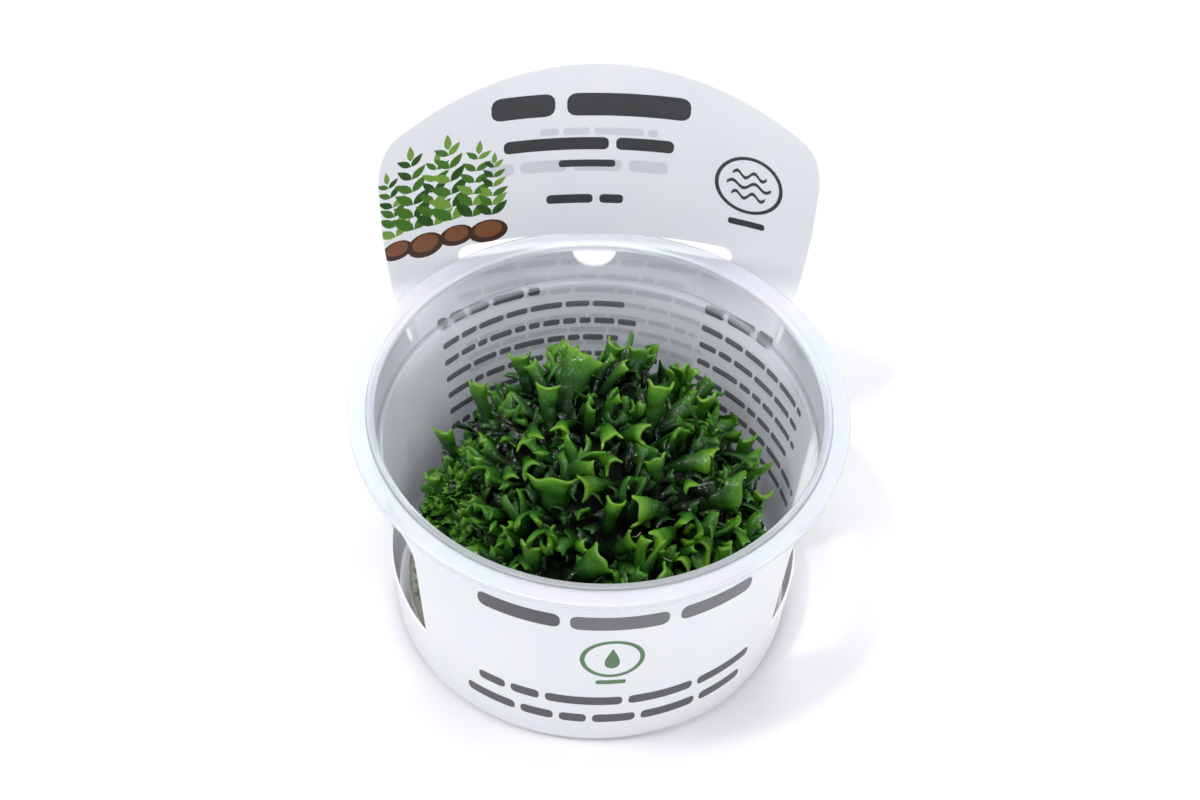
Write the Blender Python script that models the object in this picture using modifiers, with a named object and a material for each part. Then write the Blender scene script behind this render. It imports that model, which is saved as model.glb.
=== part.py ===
"""A tissue-cultured aquatic liverwort in its clear tub, wrapped in a white die-cut sleeve.

Frame: metres, +Z up. The origin is the centre of the tub's flat base, on the surface it
stands on. The sleeve's tall header stands at +Y and its front faces -Y.
"""

import math
import random

import bmesh
import bpy
from mathutils import Vector, noise
from mathutils.bvhtree import BVHTree

MM = 0.001

# Tub: a moulded cup with a collar for its lid, a rounded rim bead and a flat flange
TUB_STEPS = 48
BASE_RADIUS = 40.3 * MM
FLOOR_THICKNESS = 1.0 * MM
WALL_THICKNESS = 0.8 * MM
BASE_ROUNDING = 1.6 * MM
LEDGE_HEIGHT = 46.7 * MM
LEDGE_RADIUS = 43.15 * MM
LEDGE_STEP = 0.55 * MM
COLLAR_TOP_RADIUS = 44.5 * MM
COLLAR_WALL = 0.7 * MM
BEAD_INNER_RADIUS = 44.64 * MM
BEAD_OUTER_RADIUS = 46.2 * MM
BEAD_TOP = 56.8 * MM
BEAD_CROWN_INSET = 0.5 * MM
FLANGE_TOP = 56.2 * MM
FLANGE_THICKNESS = 0.9 * MM
FLANGE_RADIUS = 49.8 * MM
LIP_WIDTH = 0.7 * MM
LIP_DROP = 0.4 * MM
FLANGE_CHAMFER = 0.4 * MM

# Sleeve: one sheet, laid out flat as arc length round the tub against height
SHEET_THICKNESS = 0.45 * MM
WRAP_RADIUS = 46.0 * MM
SLEEVE_BOTTOM = 1.1 * MM
SLEEVE_TOP = 54.6 * MM
SLEEVE_BOTTOM_RADIUS = 41.07 * MM
SLEEVE_TAPER = math.radians(5.3)
SLEEVE_COLUMNS = 60
CORNER_STEPS = 6
WINDOW_BOTTOM = 14.6 * MM
WINDOW_TOP = 44.2 * MM
WINDOW_FRONT_ANGLE = math.radians(55.9)
WINDOW_REAR_ANGLE = math.radians(96.0)
WINDOW_TURN = math.radians(1.6)
WINDOW_ROUNDING = 5.0 * MM

# Header: the sleeve's back part, which springs off the tub and stands nearly flat
HEADER_CURVE_RADIUS = 96.0 * MM
HEADER_OFFSET = 46.1 * MM
HEADER_LEAN = math.radians(5.25)
HEADER_FREE_HEIGHT = 54.0 * MM
HEADER_FIXED_HEIGHT = 40.0 * MM
HEADER_APEX = 102.2 * MM
HEADER_SHOULDER = 91.0 * MM
HEADER_SHOULDER_HALF_WIDTH = 41.5 * MM
HEADER_WIDEST = 80.0 * MM
HEADER_HALF_WIDTH = 46.2 * MM
HEADER_WAIST_INSET = 0.6 * MM
NECK_HALF_WIDTH = 43.0 * MM
RELIEF_DEPTH = 10.0 * MM
RELIEF_WIDTH = 3.0 * MM
BAND_FLARE_REACH = 14.0 * MM
BEND_HEIGHTS = (HEADER_FIXED_HEIGHT, WINDOW_TOP, 48.5 * MM, HEADER_FREE_HEIGHT)
SLOT_HALF_LENGTH = 29.0 * MM
SLOT_BOTTOM = 54.6 * MM
SLOT_TOP = 58.9 * MM
NOTCH_RADIUS = 4.6 * MM

# Gel: the thin layer of nutrient jelly on the floor
GEL_BOTTOM = 1.3 * MM
GEL_TOP = 5.0 * MM
GEL_RADIUS = 38.6 * MM
GEL_TAPER = 0.8 * MM

# Plant: a mound whose height falls off towards its edge and rises towards the back
MOUND_BOTTOM = 5.3 * MM
MOUND_RADIUS = 36.0 * MM
MOUND_HEIGHT = 30.0 * MM
MOUND_TILT = 0.36
MOUND_SIDE_DROP = 8.9
MOUND_SHARPNESS = 5.0
MOUND_SHOULDER = 0.45
LUMP_HEIGHT = 1.3 * MM
LUMP_SIZE = 8.0 * MM
MOUND_SUBDIVISIONS = 4
ROOT_DEPTH = 3.0 * MM
CLEARANCE = 0.45 * MM
THALLUS_THICKNESS = 0.9 * MM
THALLUS_BOW = 0.22
THALLUS_FOOT_WIDTH = 0.6
THALLUS_TIP_FLARE = 0.14
THALLUS_UNCURL = 0.3
THALLUS_ROWS = 5
THALLUS_COLUMNS = 4
TOOTH_REACH = 1.0 * MM
TOOTH_SHARE = 0.6
TOOTH_SETBACK = 0.2
TEETH_START = 0.375
OUTWARD_RISE = 30.0 * MM
FACING_FRONT = 45.0 * MM
LOBE_LENGTH = 5.2 * MM
LOBE_LOWEST = 11.0 * MM
LOBE_SPACING = 5.6 * MM
LOBE_CLEARANCE = 2.0 * MM
LOBE_TIP_CLEARANCE = 1.2 * MM
LOBE_OUTER_RADIUS = 39.4 * MM
LOBE_UPLIFT = 0.35
LOBE_WAIST_HEIGHT = 0.55
LOBE_WAIST_WIDTH = 0.5
LOBE_TIP_WIDTH = 0.95
LOBE_POINT = 0.3
SEED = 7

# Large thalli in millimetres and radians: root x, y; tip x, y, z; half width; curl; teeth.
# A curl below 0 rolls the edges under, so that the ribbon's rounded back faces front and up.
THALLI = [
    (-6, 17, -2, 27, 43.5, 4.0, -1.3, 4),
    (-9, 14, -10, 20, 41, 2.6, -2.4, 2),
    (-4, 15, -7, 9, 38.5, 2.4, -4.0, 3),
    (11, 13, 14, 19, 42, 3.3, -3.8, 3),
    (4, 12, 10, 9, 37, 2.5, -2.6, 2),
    (14, 7, 25, 6, 31.5, 3.6, -3.6, 2),
    (12, 1, 12, 4, 36.5, 2.6, -2.2, 3),
    (-8, -5, -9, -1, 36, 5.6, -2.2, 3),
    (5, 2, -3, -4, 35, 2.8, -2.6, 2),
    (15, -2, 8, -9, 33.5, 3.4, -2.4, 3),
    (17, -5, 12, -15, 30.5, 3.0, -2.6, 2),
    (19, 1, 31, 1, 27, 5.0, -2.8, 3),
    (21, -7, 23, -14, 26, 4.2, -2.8, 2),
    (-6, -17, 2, -19, 31, 3.8, -2.6, 3),
    (-13, -16, -13, -15, 31.5, 2.6, -2.8, 2),
    (2, -8, 4, -6, 34.5, 2.2, -3.4, 2),
    (3, -12, 8, -14, 31, 2.4, -2.8, 2),
    (-18, 9, -18, 1, 31.5, 2.2, -3.0, 2),
    (-14, 9, -14, 2, 34, 2.4, -3.4, 2),
    (-21, 19, -25, 24, 37, 2.2, -2.4, 3),
    (-27, 13, -32, 16, 31, 2.2, -2.4, 3),
    (-29, 6, -34, 7, 26.5, 2.1, -2.2, 3),
    (0, 15, 3, 7, 38, 2.5, -2.6, 3),
    (0, 8, 3, 2, 35.5, 2.3, -3.2, 2),
    (21, 17, 24, 21, 36.5, 2.3, -2.4, 3),
    (28, 12, 33, 15, 30, 2.3, -2.2, 3),
    (8, 25, 10, 31, 40.5, 2.3, -2.2, 3),
    (16, 23, 18, 27, 38.5, 2.2, -2.2, 3),
    (-13, 25, -16, 30, 39, 2.4, -2.4, 3),
    (2, 28, 5, 33, 39.5, 2.1, -2.4, 2),
    (16, -17, 12, -20, 28, 2.6, -2.4, 3),
    (24, -18, 28, -22, 23, 2.6, -2.0, 3),
    (-30, -3, -35, -4, 23, 2.6, -2.0, 3),
    (31, 4, 36, 5, 24, 2.4, -2.0, 2),
    (-23, -15, -28, -19, 24, 2.8, -2.0, 3),
    (-2, -27, -2, -33, 22, 2.8, -2.0, 3),
    (12, -29, 14, -34, 19, 2.6, -2.0, 3),
    (-13, 16, -14, 8, 36, 3.0, -1.8, 3),
]


def clear_scene():
    for obj in list(bpy.data.objects):
        bpy.data.objects.remove(obj, do_unlink=True)


def make_collection(name, hidden=False):
    group = bpy.data.collections.new(name)
    group.hide_render = hidden
    bpy.context.scene.collection.children.link(group)
    return group


def make_material(name, colour, roughness, transmission=0.0, ior=1.45):
    material = bpy.data.materials.new(name)
    material.use_nodes = True
    shader = material.node_tree.nodes["Principled BSDF"]
    shader.inputs["Base Color"].default_value = (*colour, 1.0)
    shader.inputs["Roughness"].default_value = roughness
    shader.inputs["Metallic"].default_value = 0.0
    shader.inputs["Transmission Weight"].default_value = transmission
    shader.inputs["IOR"].default_value = ior
    return material


def add_object(name, mesh, material, group):
    obj = bpy.data.objects.new(name, mesh)
    if material:
        mesh.materials.append(material)
    group.objects.link(obj)
    return obj


def finish_cutter(obj):
    obj.hide_render = True
    obj.display_type = "WIRE"


def mesh_from_bmesh(name, bm):
    mesh = bpy.data.meshes.new(name)
    bm.to_mesh(mesh)
    bm.free()
    return mesh


def arc(centre, radius, start, end, steps):
    """Points of a circular arc between two angles in radians."""
    angles = [start + (end - start) * i / steps for i in range(steps + 1)]
    return [(centre[0] + radius * math.cos(a), centre[1] + radius * math.sin(a)) for a in angles]


def smoothstep(value):
    value = min(max(value, 0.0), 1.0)
    return value * value * (3 - 2 * value)


# Tub
def tub_profile():
    """The wall's section at +X: inside from the floor up, over the rim and down the outside."""
    inner_base = BASE_RADIUS - WALL_THICKNESS
    collar_foot = LEDGE_HEIGHT + LEDGE_STEP
    underside = FLANGE_TOP - FLANGE_THICKNESS
    lip_bottom = underside - LIP_DROP
    return [
        (0, FLOOR_THICKNESS),
        (inner_base - BASE_ROUNDING, FLOOR_THICKNESS),
        (inner_base, FLOOR_THICKNESS + BASE_ROUNDING),
        (LEDGE_RADIUS, LEDGE_HEIGHT),
        (LEDGE_RADIUS + LEDGE_STEP, collar_foot),
        (COLLAR_TOP_RADIUS, underside),
        (BEAD_INNER_RADIUS, FLANGE_TOP),
        (BEAD_INNER_RADIUS + BEAD_CROWN_INSET, BEAD_TOP),
        (BEAD_OUTER_RADIUS - BEAD_CROWN_INSET, BEAD_TOP),
        (BEAD_OUTER_RADIUS, FLANGE_TOP),
        (FLANGE_RADIUS - FLANGE_CHAMFER, FLANGE_TOP),
        (FLANGE_RADIUS, FLANGE_TOP - FLANGE_CHAMFER),
        (FLANGE_RADIUS, lip_bottom),
        (FLANGE_RADIUS - LIP_WIDTH, lip_bottom),
        (FLANGE_RADIUS - LIP_WIDTH, underside),
        (COLLAR_TOP_RADIUS + COLLAR_WALL, underside),
        (LEDGE_RADIUS + LEDGE_STEP + COLLAR_WALL, collar_foot),
        (LEDGE_RADIUS + WALL_THICKNESS, LEDGE_HEIGHT - LEDGE_STEP),
        (BASE_RADIUS, BASE_ROUNDING),
        (BASE_RADIUS - BASE_ROUNDING, 0),
        (0, 0),
    ]


def make_turned(name, profile, steps, material, group):
    """A solid of revolution about Z from a section at +X, by a Screw modifier."""
    mesh = bpy.data.meshes.new(name)
    edges = [(i, i + 1) for i in range(len(profile) - 1)]
    mesh.from_pydata([(x, 0, z) for x, z in profile], edges, [])
    obj = add_object(name, mesh, material, group)
    screw = obj.modifiers.new("turn", "SCREW")
    screw.axis = "Z"
    screw.steps = steps
    screw.render_steps = steps
    screw.use_merge_vertices = True
    screw.merge_threshold = 0.01 * MM
    screw.use_smooth_shade = True
    return obj


def make_tub(group):
    plastic = make_material("clear_polypropylene", (0.93, 0.95, 0.96), 0.12, 0.95, 1.49)
    return make_turned("tub", tub_profile(), TUB_STEPS, plastic, group)


def make_gel(group):
    jelly = make_material("nutrient_gel", (0.80, 0.80, 0.66), 0.25, 0.6, 1.34)
    profile = [(0, GEL_TOP), (GEL_RADIUS, GEL_TOP), (GEL_RADIUS - GEL_TAPER, GEL_BOTTOM), (0, GEL_BOTTOM)]
    return make_turned("growth_gel", profile, TUB_STEPS, jelly, group)


# Sleeve
def window_outline(side):
    """A side window on the flat sheet: sharp lower corners and a rounded upper front one."""
    front = (side * (math.pi - WINDOW_FRONT_ANGLE) - WINDOW_TURN) * WRAP_RADIUS
    rear = (side * (math.pi - WINDOW_REAR_ANGLE) - WINDOW_TURN) * WRAP_RADIUS
    inward = -side * WINDOW_ROUNDING
    rounding = [
        (front + inward * (1 - math.cos(a)), WINDOW_TOP - WINDOW_ROUNDING * (1 - math.sin(a)))
        for a in [math.pi / 2 * i / CORNER_STEPS for i in range(CORNER_STEPS + 1)]
    ]
    return [(front, WINDOW_BOTTOM), *rounding, (rear, WINDOW_TOP), (rear, WINDOW_BOTTOM)]


def slot_outline():
    """The flange's slot: a long rounded slit with a half-round notch in its lower edge."""
    end_radius = (SLOT_TOP - SLOT_BOTTOM) / 2
    middle = (SLOT_TOP + SLOT_BOTTOM) / 2
    reach = SLOT_HALF_LENGTH - end_radius
    notch = arc((0, SLOT_BOTTOM), NOTCH_RADIUS, math.pi, 2 * math.pi, CORNER_STEPS + 2)
    right = arc((reach, middle), end_radius, -math.pi / 2, math.pi / 2, CORNER_STEPS)
    left = arc((-reach, middle), end_radius, math.pi / 2, 3 * math.pi / 2, CORNER_STEPS)
    return notch + right + left


def header_half_outline():
    """The right half of the header's edge on the flat sheet, from the band up to the apex."""
    relief_floor = SLEEVE_TOP - RELIEF_DEPTH
    relief_centre = (NECK_HALF_WIDTH + RELIEF_WIDTH / 2, relief_floor + RELIEF_WIDTH / 2)
    relief = arc(relief_centre, RELIEF_WIDTH / 2, 0, -math.pi, CORNER_STEPS)
    corner_centre = (NECK_HALF_WIDTH + 2 * RELIEF_WIDTH, SLEEVE_TOP - RELIEF_WIDTH)
    corner = arc(corner_centre, RELIEF_WIDTH, math.pi / 2, math.pi, CORNER_STEPS - 2)
    waist = (HEADER_HALF_WIDTH - HEADER_WAIST_INSET, (SLEEVE_TOP + HEADER_WIDEST) / 2)
    rise = HEADER_APEX - HEADER_SHOULDER
    widest = Vector((HEADER_HALF_WIDTH, HEADER_WIDEST))
    shoulder_end = Vector((HEADER_SHOULDER_HALF_WIDTH, HEADER_SHOULDER))
    slope = 2 * rise / HEADER_SHOULDER_HALF_WIDTH
    overhang = HEADER_HALF_WIDTH - HEADER_SHOULDER_HALF_WIDTH
    corner_point = Vector((HEADER_HALF_WIDTH, HEADER_SHOULDER - slope * overhang))
    steps = [i / CORNER_STEPS for i in range(CORNER_STEPS)]
    shoulder = [tuple(bezier(widest, corner_point, shoulder_end, t)) for t in steps]
    crown = [(HEADER_SHOULDER_HALF_WIDTH * (1 - t), HEADER_APEX - rise * (1 - t) ** 2) for t in [*steps, 1]]
    return corner + relief + [waist] + shoulder + crown


def sleeve_outline():
    half = header_half_outline()
    length = math.pi * WRAP_RADIUS
    mirrored = [(-x, z) for x, z in reversed(half[:-1])]
    ends = [(-length, SLEEVE_TOP), (-length, SLEEVE_BOTTOM), (length, SLEEVE_BOTTOM), (length, SLEEVE_TOP)]
    return ends + half + mirrored


def cone_point(along, height, radius_offset):
    """Where a point of the flat sheet lies when it hugs the tapered tub."""
    angle = along / WRAP_RADIUS
    radius = SLEEVE_BOTTOM_RADIUS + (height - SLEEVE_BOTTOM) * math.tan(SLEEVE_TAPER) - radius_offset
    return Vector((radius * math.sin(angle), radius * math.cos(angle), height))


def header_point(along, height, radius_offset):
    """Where it lies when it stands free as the gently curved, backward-leaning header."""
    radius = HEADER_CURVE_RADIUS - radius_offset
    angle = along / HEADER_CURVE_RADIUS
    lean = (height - FLANGE_TOP) * math.tan(HEADER_LEAN)
    centre = HEADER_OFFSET + lean - HEADER_CURVE_RADIUS
    return Vector((radius * math.sin(angle), centre + radius * math.cos(angle), height))


def bend_sheet(along, height):
    offset = SHEET_THICKNESS / 2
    span = HEADER_FREE_HEIGHT - HEADER_FIXED_HEIGHT
    freed = smoothstep((height - HEADER_FIXED_HEIGHT) / span)
    beyond_neck = abs(along) - NECK_HALF_WIDTH
    if height < SLEEVE_TOP + SHEET_THICKNESS:
        freed *= 1 - smoothstep(beyond_neck / BAND_FLARE_REACH)
        if beyond_neck > 0.5 * RELIEF_WIDTH:
            relief_floor = SLEEVE_TOP - RELIEF_DEPTH
            freed *= 1 - smoothstep((height - relief_floor) / RELIEF_DEPTH)
    return cone_point(along, height, offset).lerp(header_point(along, height, offset), freed)


def flat_sheet():
    """The die-cut sheet as a filled outline with holes, turned to a mesh that can bend."""
    curve = bpy.data.curves.new("sleeve_outline", "CURVE")
    curve.dimensions = "2D"
    curve.fill_mode = "BOTH"
    for outline in (sleeve_outline(), slot_outline(), window_outline(1), window_outline(-1)):
        spline = curve.splines.new("POLY")
        spline.points.add(len(outline) - 1)
        for point, (x, z) in zip(spline.points, outline):
            point.co = (x, z, 0, 1)
        spline.use_cyclic_u = True
    outline_object = bpy.data.objects.new("sleeve_outline", curve)
    bpy.context.scene.collection.objects.link(outline_object)
    graph = bpy.context.evaluated_depsgraph_get()
    mesh = bpy.data.meshes.new_from_object(outline_object.evaluated_get(graph))
    bpy.data.objects.remove(outline_object, do_unlink=True)
    return mesh


def make_sleeve(group):
    bm = bmesh.new()
    bm.from_mesh(flat_sheet())
    bmesh.ops.remove_doubles(bm, verts=bm.verts, dist=0.01 * MM)
    bmesh.ops.dissolve_limit(bm, angle_limit=0.01, verts=bm.verts, edges=bm.edges)
    column = 2 * math.pi * WRAP_RADIUS / SLEEVE_COLUMNS
    for i in range(1, SLEEVE_COLUMNS):
        cut_sheet(bm, bm.faces[:], ((i - SLEEVE_COLUMNS / 2) * column, 0, 0), (1, 0, 0))
    for height in BEND_HEIGHTS:
        reach = NECK_HALF_WIDTH + BAND_FLARE_REACH
        bending = [f for f in bm.faces if abs(f.calc_center_median().x) < reach]
        cut_sheet(bm, bending, (0, height, 0), (0, 1, 0))
    for vert in bm.verts:
        vert.co = bend_sheet(vert.co.x, vert.co.y)
    bmesh.ops.remove_doubles(bm, verts=bm.verts, dist=0.02 * MM)
    bmesh.ops.recalc_face_normals(bm, faces=bm.faces)
    board = make_material("white_printed_sheet", (0.86, 0.87, 0.89), 0.42)
    sleeve = add_object("sleeve", mesh_from_bmesh("sleeve", bm), board, group)
    solidify = sleeve.modifiers.new("thickness", "SOLIDIFY")
    solidify.thickness = SHEET_THICKNESS
    solidify.offset = 0
    return sleeve


def cut_sheet(bm, faces, point, normal):
    edges = {edge for face in faces for edge in face.edges}
    verts = {vert for face in faces for vert in face.verts}
    bmesh.ops.bisect_plane(
        bm, geom=list(verts) + list(edges) + list(faces), dist=0.02 * MM, plane_co=point, plane_no=normal
    )


# Plant
def mound_height(x, y):
    """The mound's smooth upper surface over a point of the tub's floor."""
    reach = math.hypot(x, y) / MOUND_RADIUS
    crest = MOUND_HEIGHT + MOUND_TILT * y - MOUND_SIDE_DROP * x * x
    falloff = max(0.0, 1 - reach**MOUND_SHARPNESS) ** MOUND_SHOULDER
    return MOUND_BOTTOM + (crest - MOUND_BOTTOM) * falloff


def mound_core(grow):
    """The mound's body as a bmesh: a dome pushed into lumps and cut flat underneath."""
    bm = bmesh.new()
    bmesh.ops.create_icosphere(bm, subdivisions=MOUND_SUBDIVISIONS, radius=1)
    whole = bm.verts[:] + bm.edges[:] + bm.faces[:]
    bmesh.ops.bisect_plane(bm, geom=whole, plane_co=(0, 0, 0), plane_no=(0, 0, -1), clear_outer=True)
    for edge in bm.edges:
        for vert in edge.verts if edge.is_boundary else ():
            vert.co.z = 0
    for vert in bm.verts:
        spot = vert.co.copy()
        x, y = spot.x * MOUND_RADIUS, spot.y * MOUND_RADIUS
        place = Vector((x, y, mound_height(x, y)))
        lump = noise.noise(place / LUMP_SIZE) * LUMP_HEIGHT * smoothstep(3 * spot.z)
        vert.co = place + spot * (lump + grow)
        vert.co.z = max(vert.co.z, MOUND_BOTTOM - grow) if spot.z > 0 else MOUND_BOTTOM - grow
    rim = [edge for edge in bm.edges if edge.is_boundary]
    bmesh.ops.contextual_create(bm, geom=rim)
    bmesh.ops.recalc_face_normals(bm, faces=bm.faces)
    return bm


def bezier(start, middle, end, t):
    return start * (1 - t) ** 2 + middle * (2 * t * (1 - t)) + end * t**2


class Thallus:
    """A ribbon that widens from its root, curls to one side and ends in pointed teeth."""

    def __init__(self, row):
        root_x, root_y, tip_x, tip_y, tip_z, half_width, curl, teeth = row
        x, y = root_x * MM, root_y * MM
        self.root = Vector((x, y, mound_height(x, y) - ROOT_DEPTH))
        self.tip = Vector((tip_x * MM, tip_y * MM, tip_z * MM))
        self.facing = Vector((x, y - FACING_FRONT, OUTWARD_RISE)).normalized()
        length = (self.tip - self.root).length
        outward = Vector((x, y, OUTWARD_RISE)).normalized()
        self.middle = (self.root + self.tip) / 2 + outward * (THALLUS_BOW * length)
        self.half_width = half_width * MM
        self.curl = curl
        self.teeth = teeth

    def centre(self, t):
        return bezier(self.root, self.middle, self.tip, t)

    def frame(self, t):
        tangent = ((self.middle - self.root) * (1 - t) + (self.tip - self.middle) * t).normalized()
        side = tangent.cross(self.facing).normalized()
        return tangent, side, side.cross(tangent)

    def point(self, across, along):
        """A point of the ribbon; across runs from -1 to 1 and along from 0 to 1."""
        spread = THALLUS_FOOT_WIDTH + (1 - THALLUS_FOOT_WIDTH) * smoothstep(along)
        width = self.half_width * (spread + THALLUS_TIP_FLARE * along**4)
        tightest = 2 * width / THALLUS_THICKNESS
        bend = max(-tightest, min(tightest, self.curl * (1 - THALLUS_UNCURL * along**2)))
        angle = across * bend / 2
        radius = 2 * width / bend
        tangent, side, face = self.frame(along)
        edge = side * (radius * math.sin(angle)) + face * (radius * (1 - math.cos(angle)))
        forward = self.tooth(across) * smoothstep((along - TEETH_START) / (1 - TEETH_START))
        return self.centre(along) + edge + tangent * forward

    def tooth(self, across):
        """How far the tip's edge stands forward: peaks at the teeth, hollows between them."""
        wave = math.cos(math.pi * (across + 1) * (self.teeth - 1))
        return min(TOOTH_SHARE * self.half_width, TOOTH_REACH) * (wave - TOOTH_SETBACK)


def ribbon_mesh(name, thallus):
    columns = max(THALLUS_COLUMNS, 2 * (thallus.teeth - 1))
    bm = bmesh.new()
    rows = []
    for j in range(THALLUS_ROWS + 1):
        along = j / THALLUS_ROWS
        row = [bm.verts.new(thallus.point(2 * i / columns - 1, along)) for i in range(columns + 1)]
        rows.append(row)
    for lower, upper in zip(rows, rows[1:]):
        for i in range(columns):
            bm.faces.new((lower[i], lower[i + 1], upper[i + 1], upper[i]))
    bmesh.ops.recalc_face_normals(bm, faces=bm.faces)
    return mesh_from_bmesh(name, bm)


def grow_lobes(bm, ribbons, draw):
    """Small forked lobes, raised from faces of the mound that no large thallus comes near."""
    joined = bmesh.new()
    for mesh in ribbons:
        joined.from_mesh(mesh)
    near = BVHTree.FromBMesh(joined)
    joined.free()
    faces = [f for f in bm.faces if f.calc_center_median().z > LOBE_LOWEST and len(f.verts) == 3]
    draw.shuffle(faces)
    chosen = []
    for face in faces:
        centre = face.calc_center_median()
        if any((centre - other).length < LOBE_SPACING for other in chosen):
            continue
        length = LOBE_LENGTH * draw.uniform(0.75, 1.2)
        waist, tip = lobe_corners(face, length)
        axis = [centre.lerp(middle_of(tip), share) for share in (0.25, 0.5, 0.75, 1.0, 1.25)]
        foot = [vert.co.lerp(corner, 0.3) for vert, corner in zip(face.verts, waist)]
        edges = [a.lerp(b, 0.5) for ring in (foot, waist, tip) for a, b in zip(ring, ring[1:] + ring[:1])]
        if any(near.find_nearest(point)[3] < LOBE_CLEARANCE for point in axis):
            continue
        if any(near.find_nearest(point)[3] < LOBE_TIP_CLEARANCE for point in foot + waist + tip + edges):
            continue
        if any(math.hypot(point.x, point.y) > LOBE_OUTER_RADIUS for point in tip):
            continue
        chosen.append(centre)
        raise_lobe(bm, face, (waist, tip))


def middle_of(points):
    return sum(points, Vector()) / len(points)


def lobe_corners(face, length):
    """The corners of a lobe's narrow waist and of its flared tip, two of them pointed."""
    lean = (face.normal + Vector((0, 0, LOBE_UPLIFT))).normalized()
    centre = face.calc_center_median()
    spread = [vert.co - centre for vert in face.verts]
    waist = [centre + lean * (LOBE_WAIST_HEIGHT * length) + edge * LOBE_WAIST_WIDTH for edge in spread]
    tip = [centre + lean * length + edge * LOBE_TIP_WIDTH for edge in spread]
    for pointed in (0, 2):
        tip[pointed] += lean * (LOBE_POINT * length)
    return waist, tip


def raise_lobe(bm, face, rings):
    for corners in rings:
        face = bmesh.ops.extrude_discrete_faces(bm, faces=[face])["faces"][0]
        for vert, corner in zip(face.verts, corners):
            vert.co = corner


def make_plant(group, cutters):
    draw = random.Random(SEED)
    leaf = make_material("liverwort_thallus", (0.10, 0.32, 0.03), 0.25)
    dark_leaf = make_material("liverwort_mat", (0.03, 0.13, 0.015), 0.35)
    thalli = [Thallus(row) for row in THALLI]
    ribbons = [ribbon_mesh(f"thallus_{i:02d}", thallus) for i, thallus in enumerate(thalli, 1)]
    body = mound_core(0)
    grow_lobes(body, ribbons, draw)
    add_object("thallus_mat", mesh_from_bmesh("thallus_mat", body), dark_leaf, group)
    socket = add_object("mat_socket", mesh_from_bmesh("mat_socket", mound_core(CLEARANCE)), None, cutters)
    finish_cutter(socket)
    for mesh in ribbons:
        ribbon = add_object(mesh.name, mesh, leaf, group)
        solidify = ribbon.modifiers.new("thickness", "SOLIDIFY")
        solidify.thickness = THALLUS_THICKNESS
        solidify.offset = 0
        cut = ribbon.modifiers.new("stand_on_mat", "BOOLEAN")
        cut.operation = "DIFFERENCE"
        cut.object = socket


def main():
    clear_scene()
    group = make_collection("tissue_culture_liverwort")
    cutters = make_collection("cutters", hidden=True)
    make_tub(group)
    make_sleeve(group)
    make_gel(group)
    make_plant(group, cutters)


main()
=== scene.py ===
"""Dresses a tissue-cultured liverwort cup: clear tub, printed sleeve, gel and the plant itself.

Laid out as a Blender add-on and run as a script. Lengths are metres, most of them written as
millimetres times MM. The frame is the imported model's: +Z up, the sleeve's header at +Y.
"""

import math
import random

import bmesh
import bpy
import numpy as np
from bpy.props import FloatProperty, FloatVectorProperty, IntProperty, PointerProperty
from bpy.types import Operator, Panel, PropertyGroup
from mathutils import Matrix, Vector, noise
from mathutils.bvhtree import BVHTree
from mathutils.geometry import delaunay_2d_cdt


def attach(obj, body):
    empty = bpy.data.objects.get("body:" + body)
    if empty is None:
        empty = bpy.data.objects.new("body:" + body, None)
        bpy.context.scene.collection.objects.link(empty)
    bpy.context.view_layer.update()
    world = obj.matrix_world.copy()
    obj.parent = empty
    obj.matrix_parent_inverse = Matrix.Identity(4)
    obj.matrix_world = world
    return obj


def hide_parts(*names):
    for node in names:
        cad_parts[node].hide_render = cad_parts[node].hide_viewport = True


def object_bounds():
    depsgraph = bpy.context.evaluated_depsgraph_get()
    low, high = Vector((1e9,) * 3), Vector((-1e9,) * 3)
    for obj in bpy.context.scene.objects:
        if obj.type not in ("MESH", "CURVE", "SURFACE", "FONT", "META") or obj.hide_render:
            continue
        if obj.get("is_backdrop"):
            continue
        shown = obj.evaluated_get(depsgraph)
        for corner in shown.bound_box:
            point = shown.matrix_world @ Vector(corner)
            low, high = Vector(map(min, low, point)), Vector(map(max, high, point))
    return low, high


bl_info = {
    "name": "Liverwort Culture Cup",
    "version": (1, 0, 0),
    "blender": (4, 5, 0),
    "location": "3D Viewport > Sidebar > Culture Cup",
    "description": "Builds a tissue-cultured liverwort in its clear tub and printed sleeve",
    "category": "Object",
}

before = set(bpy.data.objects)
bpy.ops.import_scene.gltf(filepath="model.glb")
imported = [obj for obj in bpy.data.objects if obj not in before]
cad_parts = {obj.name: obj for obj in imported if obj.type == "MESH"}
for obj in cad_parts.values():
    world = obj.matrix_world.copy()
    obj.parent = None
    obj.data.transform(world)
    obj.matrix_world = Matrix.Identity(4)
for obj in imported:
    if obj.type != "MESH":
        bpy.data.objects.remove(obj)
BODY = "root"
MM = 0.001
SHARP_ANGLE = math.radians(50)
WELD_DISTANCE = 0.005 * MM

# Tub
BASE_RADIUS = 40.3 * MM
BASE_ROUNDING = 1.6 * MM
FLOOR_THICKNESS = 1.0 * MM
FOOT_WIDTH = 4.0 * MM
FOOT_RECESS = 0.35 * MM
GATE_RADIUS = 1.6 * MM
LEDGE_HEIGHT = 46.7 * MM
LEDGE_RADIUS = 43.15 * MM
LEDGE_STEP = 0.55 * MM
COLLAR_TOP_RADIUS = 44.5 * MM
COLLAR_WALL = 0.7 * MM
BEAD_INNER_RADIUS = 44.64 * MM
BEAD_OUTER_RADIUS = 46.2 * MM
BEAD_TOP = 56.8 * MM
FLANGE_TOP = 56.2 * MM
FLANGE_THICKNESS = 0.9 * MM
FLANGE_RADIUS = 49.8 * MM
LIP_WIDTH = 0.7 * MM
LIP_DROP = 0.4 * MM

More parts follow.
